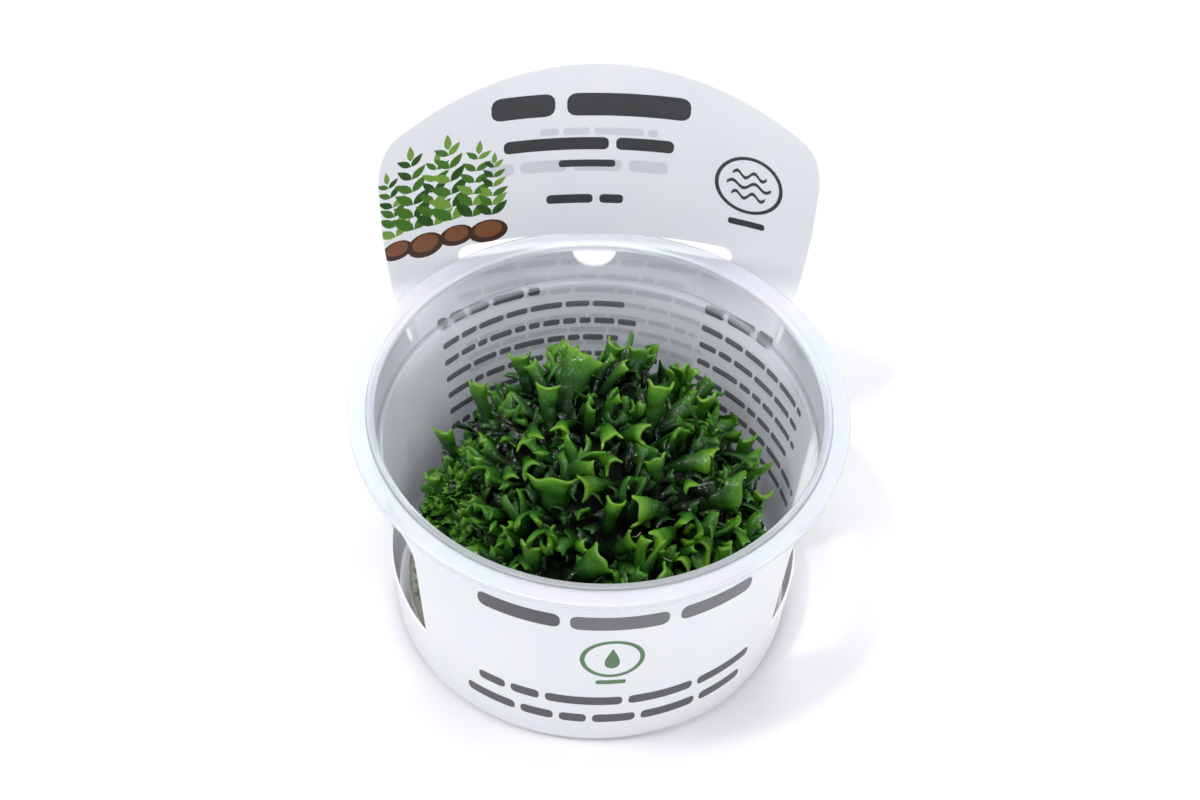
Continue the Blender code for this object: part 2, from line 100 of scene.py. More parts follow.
# Sleeve, laid out flat as arc length round the tub against height
SHEET_THICKNESS = 0.45 * MM
WRAP_RADIUS = 46.0 * MM
SLEEVE_BOTTOM = 1.1 * MM
SLEEVE_TOP = 54.6 * MM
SLEEVE_BOTTOM_RADIUS = 41.07 * MM
SLEEVE_TAPER = math.radians(5.3)
SEAM_ANGLE = math.radians(-130)
WINDOW_BOTTOM = 14.6 * MM
WINDOW_TOP = 44.2 * MM
WINDOW_FRONT_ANGLE = math.radians(55.9)
WINDOW_REAR_ANGLE = math.radians(96.0)
WINDOW_TURN = math.radians(1.6)
WINDOW_ROUNDING = 5.0 * MM
HEADER_CURVE_RADIUS = 96.0 * MM
HEADER_OFFSET = 46.1 * MM
HEADER_LEAN = math.radians(5.25)
HEADER_FREE_HEIGHT = 54.0 * MM
HEADER_FIXED_HEIGHT = 40.0 * MM
HEADER_APEX = 102.2 * MM
HEADER_SHOULDER = 91.0 * MM
HEADER_SHOULDER_HALF_WIDTH = 41.5 * MM
HEADER_WIDEST = 80.0 * MM
HEADER_HALF_WIDTH = 46.2 * MM
HEADER_WAIST_INSET = 0.6 * MM
NECK_HALF_WIDTH = 43.0 * MM
SLIT_DEPTH = 10.0 * MM
SLIT_WIDTH = 1.4 * MM
SLIT_BAND_EDGE = 0.9 * SLIT_WIDTH
BAND_FLARE_REACH = 14.0 * MM
SEAM_WELD = 0.02 * MM
SLOT_HALF_LENGTH = 29.0 * MM
SLOT_BOTTOM = 54.6 * MM
SLOT_TOP = 58.9 * MM
NOTCH_RADIUS = 4.6 * MM
BOARD_LIGHT_REACH = 0.45 * MM

# Print: plain bars and lines, two round emblems and a drawn picture
PRINT_SEED = 11
HEADING_HEIGHT = 1.95 * MM
LINE_HEIGHT = 1.6 * MM
LINE_PITCH = 4.75 * MM
BAR_GAP = 0.45
# Painted shade of print on the board's other face, as a share of the board's colour.
SHOW_THROUGH_SHADE = 0.84
BARE_GLOSS = 0.42
INK_GLOSS = 0.34
BOARD_CLOUDING = 0.03
PICTURE_INKS = {
    "leaf_dark": "#2f5a1c",
    "leaf_mid": "#4f8128",
    "leaf_light": "#83ab48",
    "brown_dark": "#4e2d1f",
    "brown_light": "#8d5a3d",
}
# Blocks of lines inside: the angles from and to in degrees, the top and the number of lines.
INNER_BLOCKS = [(-45.5, 21.5, 45.3 * MM, 7), (31.5, 82.0, 45.0 * MM, 8)]
# The front's heading and lines: layer or bottom in millimetres, then angles from the front in degrees.
FRONT_HEADING = [("bold", -32, -10.5), ("text", -8.0, 16.5), ("text", 19.5, 40)]
FRONT_LINES = [(14.3, -38, 46), (7.6, -38, 44)]
# The rest in millimetres on the flat sheet. Bars: left, bottom, width and height.
HEADER_BARS = [
    (-22.0, 89.4, 13.0, 5.6),
    (-6.6, 89.4, 25.0, 5.6),
    (-19.4, 80.9, 21.5, 3.1),
    (3.6, 80.9, 11.8, 3.1),
    (-8.0, 76.5, 11.6, 1.8),
    (-10.4, 67.1, 9.6, 2.3),
    (0.6, 67.1, 4.9, 2.3),
]
HEADER_EMBLEM = (31.4, 76.2)
# Waves of the emblem: height from its centre and length.
EMBLEM_WAVES = [(-2.6, 7.2), (0.0, 9.4), (2.6, 7.2)]
# Headings on the back: left, right, bottom and height; then the bottoms of the lines below them.
BACK_HEADINGS = [(-23, 18, 75.4, 3.0), (-12, 12, 84.6, 1.8), (-28, 28, 50.5, 1.7)]
BACK_LINES = (46.6, 42.9, 39.2, 35.5, 31.8, 28.1)
# Sprigs: place along the header, lean and height.
SPRIG_FOOT = 64.5
SPRIGS = [
    (-42.6, -0.10, 15.5),
    (-38.6, -0.02, 19.5),
    (-34.3, 0.05, 17.0),
    (-30.2, -0.04, 20.0),
    (-26.0, 0.08, 17.5),
    (-21.8, 0.03, 14.5),
]
# Pebbles: centre along and up, half width and half height.
PEBBLES = [
    (-42.4, 62.3, 3.4, 2.5),
    (-36.2, 61.6, 4.0, 3.2),
    (-29.4, 62.2, 3.7, 2.7),
    (-22.6, 61.8, 4.2, 3.0),
]

# Gel
GEL_BOTTOM = 1.3 * MM
GEL_TOP = 5.0 * MM
GEL_RADIUS = 38.6 * MM
GEL_TAPER = 0.8 * MM
MENISCUS = 0.5 * MM
MENISCUS_REACH = 3 * MM
GEL_SEGMENTS = 96

# Plant
MOUND_BOTTOM = 5.3 * MM
MOUND_RADIUS = 36.0 * MM
MOUND_HEIGHT = 30.0 * MM
MOUND_TILT = 0.36
MOUND_SIDE_DROP = 8.9
MOUND_SHARPNESS = 5.0
MOUND_SHOULDER = 0.45
MAT_SINK = 1.6 * MM
MAT_LUMPS = [(6 * MM, 1.4 * MM), (1.6 * MM, 0.7 * MM)]
ROOT_DEPTH = 3.0 * MM
THALLUS_THICKNESS = 0.9 * MM
THALLUS_BOW = 0.22
THALLUS_FOOT_WIDTH = 0.6
THALLUS_TIP_FLARE = 0.14
THALLUS_UNCURL = 0.3
RUFFLE_SPAN = 2.2 * MM
RUFFLE_HEIGHT = 0.5 * MM
TOOTH_REACH = 1.0 * MM
TOOTH_SHARE = 0.6
TOOTH_SETBACK = 0.2
TEETH_START = 0.375
TEETH_MIDDLE = 0.35
TIP_ROUNDING = 0.7
OUTWARD_RISE = 30.0 * MM
FACING_FRONT = 45.0 * MM
HILL_SPAN = 12 * MM
HILL_HEIGHT = 5 * MM
HILL_SINK = 0.2
PLANT_OUTER_RADIUS = 37.6 * MM
LOWEST_THALLUS = 8 * MM
LOWEST_OLD_LOBE = 6.5 * MM
GOLDEN_ANGLE = math.pi * (3 - math.sqrt(5))
FRONT_VIEW = Vector((0.04, 0.67, -0.74))
CLEAR_VIEW_DEPTH = 12 * MM
HOLLOW_PLACE = (9 * MM, 5 * MM)
HOLLOW_RADIUS = 8 * MM
MIDDLE_HALF_WIDTH = 9 * MM
HOLLOW_BARE = 0.8
# How much painted shade darkens the thalli in the hollow.
HOLLOW_SHADE = 0.3
THREAD_RADIUS = 0.07 * MM
THREAD_LIFT = 3.5 * MM
THREAD_PLACES = [(-24, -6), (-26, -9), (-20, -14), (9, -10), (11, -13), (-9, -14), (30, -4), (5, 4)]

# Large thalli in millimetres and radians: root x, y; tip x, y, z; half width; curl; teeth.
# A curl below 0 rolls the edges under, so that the ribbon's rounded back faces front and up.
THALLI = [
    (-6, 17, -2, 27, 43.5, 4.0, -1.3, 4),
    (-9, 14, -10, 20, 41, 2.6, -2.4, 2),
    (-4, 15, -7, 9, 38.5, 2.4, -4.0, 3),
    (11, 13, 14, 19, 42, 3.3, -3.8, 3),
    (4, 12, 10, 9, 37, 2.5, -2.6, 2),
    (14, 7, 25, 6, 31.5, 3.6, -3.6, 2),
    (12, 1, 12, 4, 36.5, 2.6, -2.2, 3),
    (-8, -5, -9, -1, 36, 5.6, -2.2, 3),
    (5, 2, -3, -4, 35, 2.8, -2.6, 2),
    (15, -2, 8, -9, 33.5, 3.4, -2.4, 3),
    (17, -5, 12, -15, 30.5, 3.0, -2.6, 2),
    (19, 1, 31, 1, 27, 5.0, -2.8, 3),
    (21, -7, 23, -14, 26, 4.2, -2.8, 2),
    (-6, -17, 2, -19, 31, 3.8, -2.6, 3),
    (-13, -16, -13, -15, 31.5, 2.6, -2.8, 2),
    (2, -8, 4, -6, 34.5, 2.2, -3.4, 2),
    (3, -12, 8, -14, 31, 2.4, -2.8, 2),
    (-18, 9, -18, 1, 31.5, 2.2, -3.0, 2),
    (-14, 9, -14, 2, 34, 2.4, -3.4, 2),
    (-21, 19, -25, 24, 37, 2.2, -2.4, 3),
    (-27, 13, -32, 16, 31, 2.2, -2.4, 3),
    (-29, 6, -34, 7, 26.5, 2.1, -2.2, 3),
    (0, 15, 3, 7, 38, 2.5, -2.6, 3),
    (0, 8, 3, 2, 35.5, 2.3, -3.2, 2),
    (21, 17, 24, 21, 36.5, 2.3, -2.4, 3),
    (28, 12, 33, 15, 30, 2.3, -2.2, 3),
    (8, 25, 10, 31, 40.5, 2.3, -2.2, 3),
    (16, 23, 18, 27, 38.5, 2.2, -2.2, 3),
    (-13, 25, -16, 30, 39, 2.4, -2.4, 3),
    (2, 28, 5, 33, 39.5, 2.1, -2.4, 2),
    (16, -17, 12, -20, 28, 2.6, -2.4, 3),
    (24, -18, 28, -22, 23, 2.6, -2.0, 3),
    (-30, -3, -35, -4, 23, 2.6, -2.0, 3),
    (31, 4, 36, 5, 24, 2.4, -2.0, 2),
    (-23, -15, -28, -19, 24, 2.8, -2.0, 3),
    (-2, -27, -2, -33, 22, 2.8, -2.0, 3),
    (12, -29, 14, -34, 19, 2.6, -2.0, 3),
    (-13, 16, -14, 8, 36, 3.0, -1.8, 3),
]

# Soft lights: name, place in metres, diameter in metres and share of the light's power.
LAMPS = [
    ("overhead", (0.0, 0.08, 0.7), 0.35, 0.42),
    ("left_side", (-0.6, -0.2, 0.8), 0.5, 0.58),
    ("right_side", (0.6, -0.2, 0.8), 0.5, 0.58),
    ("front", (0.15, -0.95, 0.3), 0.5, 0.15),
    ("key", (-0.2, -0.15, 0.8), 0.07, 0.3),
]
LAMP_AIM = Vector((0, 0, 0.04))
FLOOR_RADIUS = 4.0


# Colours and node helpers
def linear(hex_colour):
    """An sRGB hex colour as linear red, green and blue."""
    values = [int(hex_colour[i : i + 2], 16) / 255 for i in (1, 3, 5)]
    return tuple(v / 12.92 if v <= 0.04045 else ((v + 0.055) / 1.055) ** 2.4 for v in values)


def opaque(colour):
    """A colour with full alpha, as a socket takes it."""
    return (*tuple(colour)[:3], 1.0)


def add_node(tree, kind, inputs=None, feeds=None, stops=(), **settings):
    """Adds a node with its settings and links.

    An input takes a value or the output socket that feeds it, feeds names the socket that an output
    goes to, and stops are the places and colours of a colour ramp.
    """
    node = tree.nodes.new(kind)
    for key, value in settings.items():
        setattr(node, key, value)
    for key, value in (inputs or {}).items():
        if isinstance(value, bpy.types.NodeSocket):
            tree.links.new(value, node.inputs[key])
        else:
            node.inputs[key].default_value = value
    for key, socket in (feeds or {}).items():
        tree.links.new(node.outputs[key], socket)
    while stops and len(node.color_ramp.elements) < len(stops):
        node.color_ramp.elements.new(0.5)
    for number, (place, colour) in enumerate(stops):
        node.color_ramp.elements[number].position = place
        node.color_ramp.elements[number].color = opaque(colour)
    return node


def new_material(name, **inputs):
    """A Principled material with its node tree, its shader's sockets and the object's coordinates.

    Keyword names are the shader's sockets with underscores for spaces.
    """
    material = bpy.data.materials.new(name)
    material.use_nodes = True
    tree = material.node_tree
    sockets = tree.nodes["Principled BSDF"].inputs
    for key, value in inputs.items():
        sockets[key.replace("_", " ")].default_value = value
    place = add_node(tree, "ShaderNodeTexCoord").outputs["Object"]
    return material, tree, sockets, place


# Shape helpers
def smoothstep(value):
    """A share of 0 to 1 with its ends eased, and held at them outside that range."""
    value = np.clip(value, 0.0, 1.0)
    return value * value * (3 - 2 * value)


def unit(vectors):
    """Vectors of length 1 along the last axis."""
    return vectors / np.maximum(np.linalg.norm(vectors, axis=-1, keepdims=True), 1e-12)


def arc(centre, radius, start, end, steps):
    """Points of a circular arc between two angles in radians."""
    angles = [start + (end - start) * i / steps for i in range(steps + 1)]
    return [(centre[0] + radius * math.cos(a), centre[1] + radius * math.sin(a)) for a in angles]


def bezier(start, middle, end, t):
    """The point at share t of a curve with one control point."""
    return start * (1 - t) ** 2 + middle * (2 * t * (1 - t)) + end * t**2


def filleted(corners, steps=5):
    """A section whose corners (x, z, radius) are rounded by arcs where the radius isn't 0."""
    points = []
    for i, (x, z, radius) in enumerate(corners):
        corner = Vector((x, z))
        if not radius or i in (0, len(corners) - 1):
            points.append(corner)
            continue
        before = Vector(corners[i - 1][:2]) - corner
        after = Vector(corners[i + 1][:2]) - corner
        angle = before.angle(after)
        reach = min(radius / math.tan(angle / 2), 0.49 * before.length, 0.49 * after.length)
        start, end = corner + before.normalized() * reach, corner + after.normalized() * reach
        points += [bezier(start, corner, end, t / steps) for t in range(steps + 1)]
    return [(p.x, p.y) for p in points]


def add_piece(name, mesh, replaced, materials):
    """Puts a finished mesh in the scene as a piece that rides on the cup and stands for CAD nodes."""
    for material in materials:
        mesh.materials.append(material)
    piece = bpy.data.objects.new(name, mesh)
    bpy.context.scene.collection.objects.link(piece)
    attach(piece, BODY)
    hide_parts(*replaced)
    return piece


def write_mesh(mesh, bm, sharp=False):
    """Puts a bmesh into a mesh and shades it smooth, with its corners kept sharp where asked."""
    bm.to_mesh(mesh)
    bm.free()
    mesh.shade_smooth()
    if sharp:
        mesh.set_sharp_from_angle(angle=SHARP_ANGLE)
    return mesh


def turned_mesh(name, section, segments):
    """A closed solid of revolution about Z from a section that starts and ends on the axis."""
    side = [p for before, p in zip(section, section[1:-1]) if math.dist(before, p) > WELD_DISTANCE]
    turns = [2 * math.pi * i / segments for i in range(segments)]
    bm = bmesh.new()
    start, end = (bm.verts.new((0, 0, z)) for _, z in (section[0], section[-1]))
    rings = [[bm.verts.new((x * math.cos(a), x * math.sin(a), z)) for x, z in side] for a in turns]
    for near, far in zip(rings, rings[1:] + rings[:1]):
        bm.faces.new((start, near[0], far[0]))
        for corners in zip(near, near[1:], far[1:], far):
            bm.faces.new(corners)
        bm.faces.new((end, far[-1], near[-1]))
    bmesh.ops.recalc_face_normals(bm, faces=bm.faces)
    return write_mesh(bpy.data.meshes.new(name), bm, sharp=True)


# Tub
def tub_section(wall):
    """The cup's section: inside from the floor up, over the bead and flange, then down the outside."""
    inner_base = BASE_RADIUS - wall
    collar_foot = LEDGE_HEIGHT + LEDGE_STEP
    underside = FLANGE_TOP - FLANGE_THICKNESS
    lip_bottom = underside - LIP_DROP
    bead_rounding = (BEAD_OUTER_RADIUS - BEAD_INNER_RADIUS) / 2
    recess_radius = BASE_RADIUS - BASE_ROUNDING - FOOT_WIDTH
    corners = [
        (0, FLOOR_THICKNESS, 0),
        (inner_base - BASE_ROUNDING / 2, FLOOR_THICKNESS, BASE_ROUNDING),
        (inner_base + 0.15 * MM, FLOOR_THICKNESS + BASE_ROUNDING, 2 * BASE_ROUNDING),
        (LEDGE_RADIUS, LEDGE_HEIGHT, 0.3 * MM),
        (LEDGE_RADIUS + LEDGE_STEP, collar_foot, 0.3 * MM),
        (COLLAR_TOP_RADIUS, underside, 0.6 * MM),
        (BEAD_INNER_RADIUS, BEAD_TOP, bead_rounding),
        (BEAD_OUTER_RADIUS, BEAD_TOP, bead_rounding),
        (BEAD_OUTER_RADIUS, FLANGE_TOP, 0.25 * MM),
        (FLANGE_RADIUS, FLANGE_TOP, 0.4 * MM),
        (FLANGE_RADIUS, lip_bottom, 0.2 * MM),
        (FLANGE_RADIUS - LIP_WIDTH, lip_bottom, 0.2 * MM),
        (FLANGE_RADIUS - LIP_WIDTH, underside, 0.2 * MM),
        (COLLAR_TOP_RADIUS + COLLAR_WALL, underside, 0.5 * MM),
        (LEDGE_RADIUS + LEDGE_STEP + COLLAR_WALL, collar_foot, 0.4 * MM),
        (LEDGE_RADIUS + wall, LEDGE_HEIGHT - LEDGE_STEP, 0.4 * MM),
        (BASE_RADIUS, BASE_ROUNDING, 2 * BASE_ROUNDING),
        (BASE_RADIUS - BASE_ROUNDING, 0, 0.6 * MM),
        (recess_radius, 0, 0.2 * MM),
        (recess_radius - FOOT_RECESS, FOOT_RECESS, 0.2 * MM),
        (GATE_RADIUS, FOOT_RECESS, 0),
        (0.8 * GATE_RADIUS, 0.5 * FOOT_RECESS, 0),
        (0, 0.5 * FOOT_RECESS, 0),
    ]
    return filleted(corners)


def polypropylene_material(settings):
    # Clear polypropylene, injection moulded: the thin wall is almost unseen and lets light straight
    # through, the thicker rim is milky with soft glints, where the melt flowed it is slightly uneven,
    # and a painted sheen of the strain's rainbow turns it from a violet to a blue white.
    material, tree, sockets, place = new_material(
        "clear_polypropylene_moulded", Transmission_Weight=settings.clearness, IOR=1.49
    )
    flow = add_node(tree, "ShaderNodeTexNoise", {"Vector": place, "Scale": 1 / (9 * MM), "Detail": 3.0})
    add_node(
        tree,
        "ShaderNodeMapRange",
        {"Value": flow.outputs["Fac"], "To Min": settings.haze * 0.5, "To Max": settings.haze * 1.5},
        {"Result": sockets["Roughness"]},
    )
    # A painted sheen: the faint rainbow of strain in the plastic, from a violet to a blue white.
    strain_sheen = add_node(tree, "ShaderNodeTexNoise", {"Vector": place, "Scale": 1 / (25 * MM), "Detail": 1.0})
    add_node(
        tree,
        "ShaderNodeValToRGB",
        {"Fac": strain_sheen.outputs["Fac"]},
        {"Color": sockets["Base Color"]},
        [(0.35, linear("#f3f2fb")), (0.5, settings.plastic_tint), (0.65, linear("#eef5fb"))],
    )
    height = add_node(tree, "ShaderNodeSeparateXYZ", {"Vector": place})
    low, high = 40.0, 60.0
    level = add_node(
        tree,
        "ShaderNodeMapRange",
        {"Value": height.outputs["Z"], "From Min": low * MM, "From Max": high * MM},
    )
    wall, ledge, collar, rim = settings.wall_body, 0.55, 0.2, 1.0
    body = [(46.0, wall), (46.6, ledge), (47.4, ledge), (47.8, collar), (54.8, collar), (55.6, rim)]
    add_node(
        tree,
        "ShaderNodeValToRGB",
        {"Fac": level.outputs["Result"]},
        {"Color": sockets["Alpha"]},
        [((z - low) / (high - low), (share, share, share)) for z, share in body],
    )
    add_node(
        tree,
        "ShaderNodeBump",
        {"Height": flow.outputs["Fac"], "Strength": 0.12, "Distance": 0.15 * MM},
        {"Normal": sockets["Normal"]},
    )
    return material


class CUP_OT_tub(Operator):
    """Make the clear moulded tub"""

    bl_idname = "culture_cup.tub"
    bl_label = "Clear Tub"

    def execute(self, context):
        settings = context.scene.culture_cup.tub
        mesh = turned_mesh("clear_tub", tub_section(settings.wall), settings.segments)
        add_piece("clear_tub", mesh, ["tub"], [polypropylene_material(settings)])
        return {"FINISHED"}


# Gel
def gel_section():
    """The poured layer's section, its edge drawn a little up the tub's wall."""
    steps = 8
    edge = [
        (GEL_RADIUS - MENISCUS_REACH * (1 - t) ** 2, GEL_TOP - MENISCUS * (1 - t**3))
        for t in (i / steps for i in range(steps + 1))
    ]
    return [(0, GEL_TOP - MENISCUS), *edge, (GEL_RADIUS - GEL_TAPER, GEL_BOTTOM), (0, GEL_BOTTOM)]


def gel_material(colour):
    # Agar gel, poured and set: faintly yellow, almost clear, with a wet surface.
    material, tree, sockets, place = new_material(
        "agar_gel_set",
        Base_Color=opaque(colour),
        Transmission_Weight=0.85,
        IOR=1.34,
        Roughness=0.12,
    )
    ripple = add_node(tree, "ShaderNodeTexNoise", {"Vector": place, "Scale": 1 / (4 * MM), "Detail": 4.0})
    add_node(
        tree,
        "ShaderNodeBump",
        {"Height": ripple.outputs["Fac"], "Strength": 0.3, "Distance": 0.3 * MM},
        {"Normal": sockets["Normal"]},
    )
    return material


class CUP_OT_gel(Operator):
    """Make the layer of nutrient gel on the tub's floor"""

    bl_idname = "culture_cup.gel"
    bl_label = "Nutrient Gel"

    def execute(self, context):
        mesh = turned_mesh("nutrient_gel", gel_section(), GEL_SEGMENTS)
        colour = context.scene.culture_cup.plant.gel_colour
        add_piece("nutrient_gel", mesh, ["growth_gel"], [gel_material(colour)])
        return {"FINISHED"}


# Sleeve: outline of the flat sheet
def window_outline(side):
    """A side window on the flat sheet: sharp lower corners and a rounded upper front one."""
    front = (side * (math.pi - WINDOW_FRONT_ANGLE) - WINDOW_TURN) * WRAP_RADIUS
    rear = (side * (math.pi - WINDOW_REAR_ANGLE) - WINDOW_TURN) * WRAP_RADIUS
    steps = 10
    rounding = [
        (
            front - side * WINDOW_ROUNDING * (1 - math.cos(a)),
            WINDOW_TOP - WINDOW_ROUNDING * (1 - math.sin(a)),
        )
        for a in [math.pi / 2 * i / steps for i in range(steps + 1)]
    ]
    return [(front, WINDOW_BOTTOM), *rounding, (rear, WINDOW_TOP), (rear, WINDOW_BOTTOM)]


def slot_outline():
    """The flange's slot: a long rounded slit with a half-round notch in its lower edge."""
    end_radius = (SLOT_TOP - SLOT_BOTTOM) / 2
    middle = (SLOT_TOP + SLOT_BOTTOM) / 2
    reach = SLOT_HALF_LENGTH - end_radius
    notch = arc((0, SLOT_BOTTOM), NOTCH_RADIUS, math.pi, 2 * math.pi, 20)
    right = arc((reach, middle), end_radius, -math.pi / 2, math.pi / 2, 10)
    left = arc((-reach, middle), end_radius, math.pi / 2, 3 * math.pi / 2, 10)
    return notch + right + left


def header_half_outline():
    """The right half of the header's edge on the flat sheet, from the band up to the apex."""
    slit_end = (NECK_HALF_WIDTH + SLIT_WIDTH / 2, SLEEVE_TOP - SLIT_DEPTH + SLIT_WIDTH / 2)
    slit = arc(slit_end, SLIT_WIDTH / 2, 0, -math.pi, 10)
    corner_centre = (NECK_HALF_WIDTH + 2 * SLIT_WIDTH, SLEEVE_TOP - SLIT_WIDTH)
    corner = arc(corner_centre, SLIT_WIDTH, math.pi / 2, math.pi, 8)
    waist = (HEADER_HALF_WIDTH - HEADER_WAIST_INSET, (SLEEVE_TOP + HEADER_WIDEST) / 2)
    rise = HEADER_APEX - HEADER_SHOULDER
    widest = Vector((HEADER_HALF_WIDTH, HEADER_WIDEST))
    shoulder_end = Vector((HEADER_SHOULDER_HALF_WIDTH, HEADER_SHOULDER))
    slope = 2 * rise / HEADER_SHOULDER_HALF_WIDTH
    overhang = HEADER_HALF_WIDTH - HEADER_SHOULDER_HALF_WIDTH
    turning = Vector((HEADER_HALF_WIDTH, HEADER_SHOULDER - slope * overhang))
    shoulder = [tuple(bezier(widest, turning, shoulder_end, i / 10)) for i in range(10)]
    shares = [1 - i / 30 for i in range(31)]
    crown = [(HEADER_SHOULDER_HALF_WIDTH * share, HEADER_APEX - rise * share**2) for share in shares]
    return corner + slit + [waist] + shoulder + crown


def sleeve_outline():
    """The whole sheet, cut open between the front print and the left window."""
    half = header_half_outline()
    start = SEAM_ANGLE * WRAP_RADIUS
    end = start + 2 * math.pi * WRAP_RADIUS
    mirrored = [(-x, z) for x, z in reversed(half[:-1])]
    ends = [(start, SLEEVE_TOP), (start, SLEEVE_BOTTOM), (end, SLEEVE_BOTTOM), (end, SLEEVE_TOP)]
    return ends + half + mirrored


def bend_sheet(along, height, depth):
    """Where a point of the flat sheet lies on the cup, depth metres in from its outer face.

    The band follows the tub's taper. The header stands on a flatter curve and leans back, and the
    sheet passes from the one to the other below the flange, up to the slits on either side.
    """
    angle = along / WRAP_RADIUS
    radius = SLEEVE_BOTTOM_RADIUS + (height - SLEEVE_BOTTOM) * math.tan(SLEEVE_TAPER) - depth
    wrapped = np.stack([radius * np.sin(angle), radius * np.cos(angle), height], axis=-1)
    header_radius = HEADER_CURVE_RADIUS - depth
    header_angle = along / HEADER_CURVE_RADIUS
    centre = HEADER_OFFSET + (height - FLANGE_TOP) * math.tan(HEADER_LEAN) - HEADER_CURVE_RADIUS
    header_y = centre + header_radius * np.cos(header_angle)
    standing = np.stack([header_radius * np.sin(header_angle), header_y, height], axis=-1)
    freed = smoothstep((height - HEADER_FIXED_HEIGHT) / (HEADER_FREE_HEIGHT - HEADER_FIXED_HEIGHT))
    beyond = np.abs(along) - NECK_HALF_WIDTH
    band = height < SLEEVE_TOP + SHEET_THICKNESS
    freed = np.where(band, freed * (1 - smoothstep(beyond / BAND_FLARE_REACH)), freed)
    held = 1 - smoothstep((height - SLEEVE_TOP + SLIT_DEPTH) / SLIT_DEPTH)
    freed = np.where(band & (beyond > SLIT_BAND_EDGE), freed * held, freed)
    freed = freed[..., None]
    return wrapped * (1 - freed) + standing * freed


# Sleeve: print. Every shape is (layer, points) in the flat sheet's own metres.
def bar(layer, left, bottom, width, height):
    """A plain bar with round ends."""
    radius = min(width, height) / 2 * 0.7
    corners = [
        (left + width - radius, bottom + radius, -math.pi / 2),
        (left + width - radius, bottom + height - radius, 0),
        (left + radius, bottom + height - radius, math.pi / 2),
        (left + radius, bottom + radius, math.pi),
    ]
    points = []
    for x, z, start in corners:
        points += arc((x, z), radius, start, start + math.pi / 2, 3)
    return layer, points


def bar_line(layer, left, right, bottom, height, draw, longest=9.0 * MM):
    """Bars of uneven length in a line from left to right."""
    shapes = []
    place = left
    while place < right - height:
        width = min(draw.uniform(0.3, 1.0) * longest, right - place)
        shapes.append(bar(layer, place, bottom, width, height))
        place += width + BAR_GAP * height
    return shapes


def ring(layer, hole_layer, centre, radius, line):
    """A drawn circle: a disc in ink with a bare disc on it."""
    outer = arc(centre, radius, 0, 2 * math.pi, 40)[:-1]
    inner = arc(centre, radius - line, 0, 2 * math.pi, 36)[:-1]
    return [(layer, outer), (hole_layer, inner)]


def wave(layer, centre, length, swing, line, periods):
    """A wavy line of even thickness."""
    steps = 28
    upper, lower = [], []
    for i in range(steps + 1):
        share = i / steps - 0.5
        z = centre[1] + swing * math.sin(2 * math.pi * periods * share)
        x = centre[0] + share * length
        upper.append((x, z + line / 2))
        lower.append((x, z - line / 2))
    return layer, lower + upper[::-1]


def drop(layer, centre, size):
    """A water drop: round below, drawn to a point above."""
    steps = 24
    points = []
    for i in range(steps):
        a = 2 * math.pi * i / steps
        pinch = math.sin(a / 2) ** 1.6
        points.append((centre[0] + size * 0.62 * math.sin(a) * pinch, centre[1] + size * math.cos(a)))
    return layer, points


def leaf(layer, foot, angle, length, width):
    """A pointed oval leaf from its foot."""
    steps = 5
    along = (math.sin(angle), math.cos(angle))
    across = (math.cos(angle), -math.sin(angle))
    points = []
    for side in (1, -1):
        for i in range(steps):
            t = i / steps if side == 1 else 1 - i / steps
            bulge = side * width / 2 * math.sin(math.pi * t**0.8)
            x = foot[0] + along[0] * length * t + across[0] * bulge
            points.append((x, foot[1] + along[1] * length * t + across[1] * bulge))
    return layer, points


def sprig(foot, lean, height, leaves, draw):
    """A stem with leaves in pairs, bending to one side as it rises."""
    shapes = []
    for i in range(leaves):
        t = (i + 0.6) / leaves
        middle = (foot[0] + lean * height * t * t, foot[1] + height * t)
        size = height * (0.34 - 0.16 * t)
        for side in (-1, 1):
            layer = draw.choice(("leaf_dark", "leaf_mid", "leaf_mid", "leaf_light"))
            angle = side * draw.uniform(0.7, 1.0) + lean
            shapes.append(leaf(layer, middle, angle, size, 0.42 * size))
    top = (foot[0] + lean * height, foot[1] + height)
    shapes.append(leaf("leaf_light", top, lean, 0.2 * height, 0.08 * height))
    return shapes


def header_print(draw):
    """The header's inner face, which the front shows: heading, lines, a picture and a round emblem."""
    shapes = [bar("bold", *(value * MM for value in row)) for row in HEADER_BARS]
    x, z = (value * MM for value in HEADER_EMBLEM)
    shapes += ring("bold", "bare", (x, z), 7.2 * MM, 0.8 * MM)
    for level, length in EMBLEM_WAVES:
        shapes.append(wave("bold", (x, z + level * MM), length * MM, 0.75 * MM, 0.85 * MM, 2))
    shapes.append(bar("bold", 27.6 * MM, 65.6 * MM, 7.8 * MM, 1.6 * MM))
    return shapes + picture(draw)


def picture(draw):
    """A plain drawn picture: leafy sprigs behind a row of brown pebbles."""
    shapes = []
    for x, lean, height in SPRIGS:
        shapes += sprig((x * MM, SPRIG_FOOT * MM), lean, height * MM, 6, draw)
    circle = arc((0, 0), 1.0, 0, 2 * math.pi, 18)[:-1]
    for x, z, half_width, half_height in PEBBLES:
        for layer, share in (("brown_dark", 1.0), ("brown_light", 0.72)):
            wide, high = share * half_width, share * half_height
            lift = (1 - share) * half_height * 0.6
            points = [((x + wide * u) * MM, (z + lift + high * w) * MM) for u, w in circle]
            shapes.append((layer, points))
    return shapes


def inner_block(from_angle, to_angle, top, lines, draw):
    """A block of lines on the sleeve's inner face; the first is a short bold heading."""
    shapes = []
    left, right = (math.radians(angle) * WRAP_RADIUS for angle in (from_angle, to_angle))
    for i in range(lines):
        reach = 0.5 if i == 0 else draw.uniform(0.8, 1.0) if i < lines - 1 else 0.6
        layer, height = ("bold", HEADING_HEIGHT) if i == 0 else ("text", LINE_HEIGHT)
        bottom = top - i * LINE_PITCH - height
        shapes += bar_line(layer, left, left + (right - left) * reach, bottom, height, draw, 7.5 * MM)
    return shapes


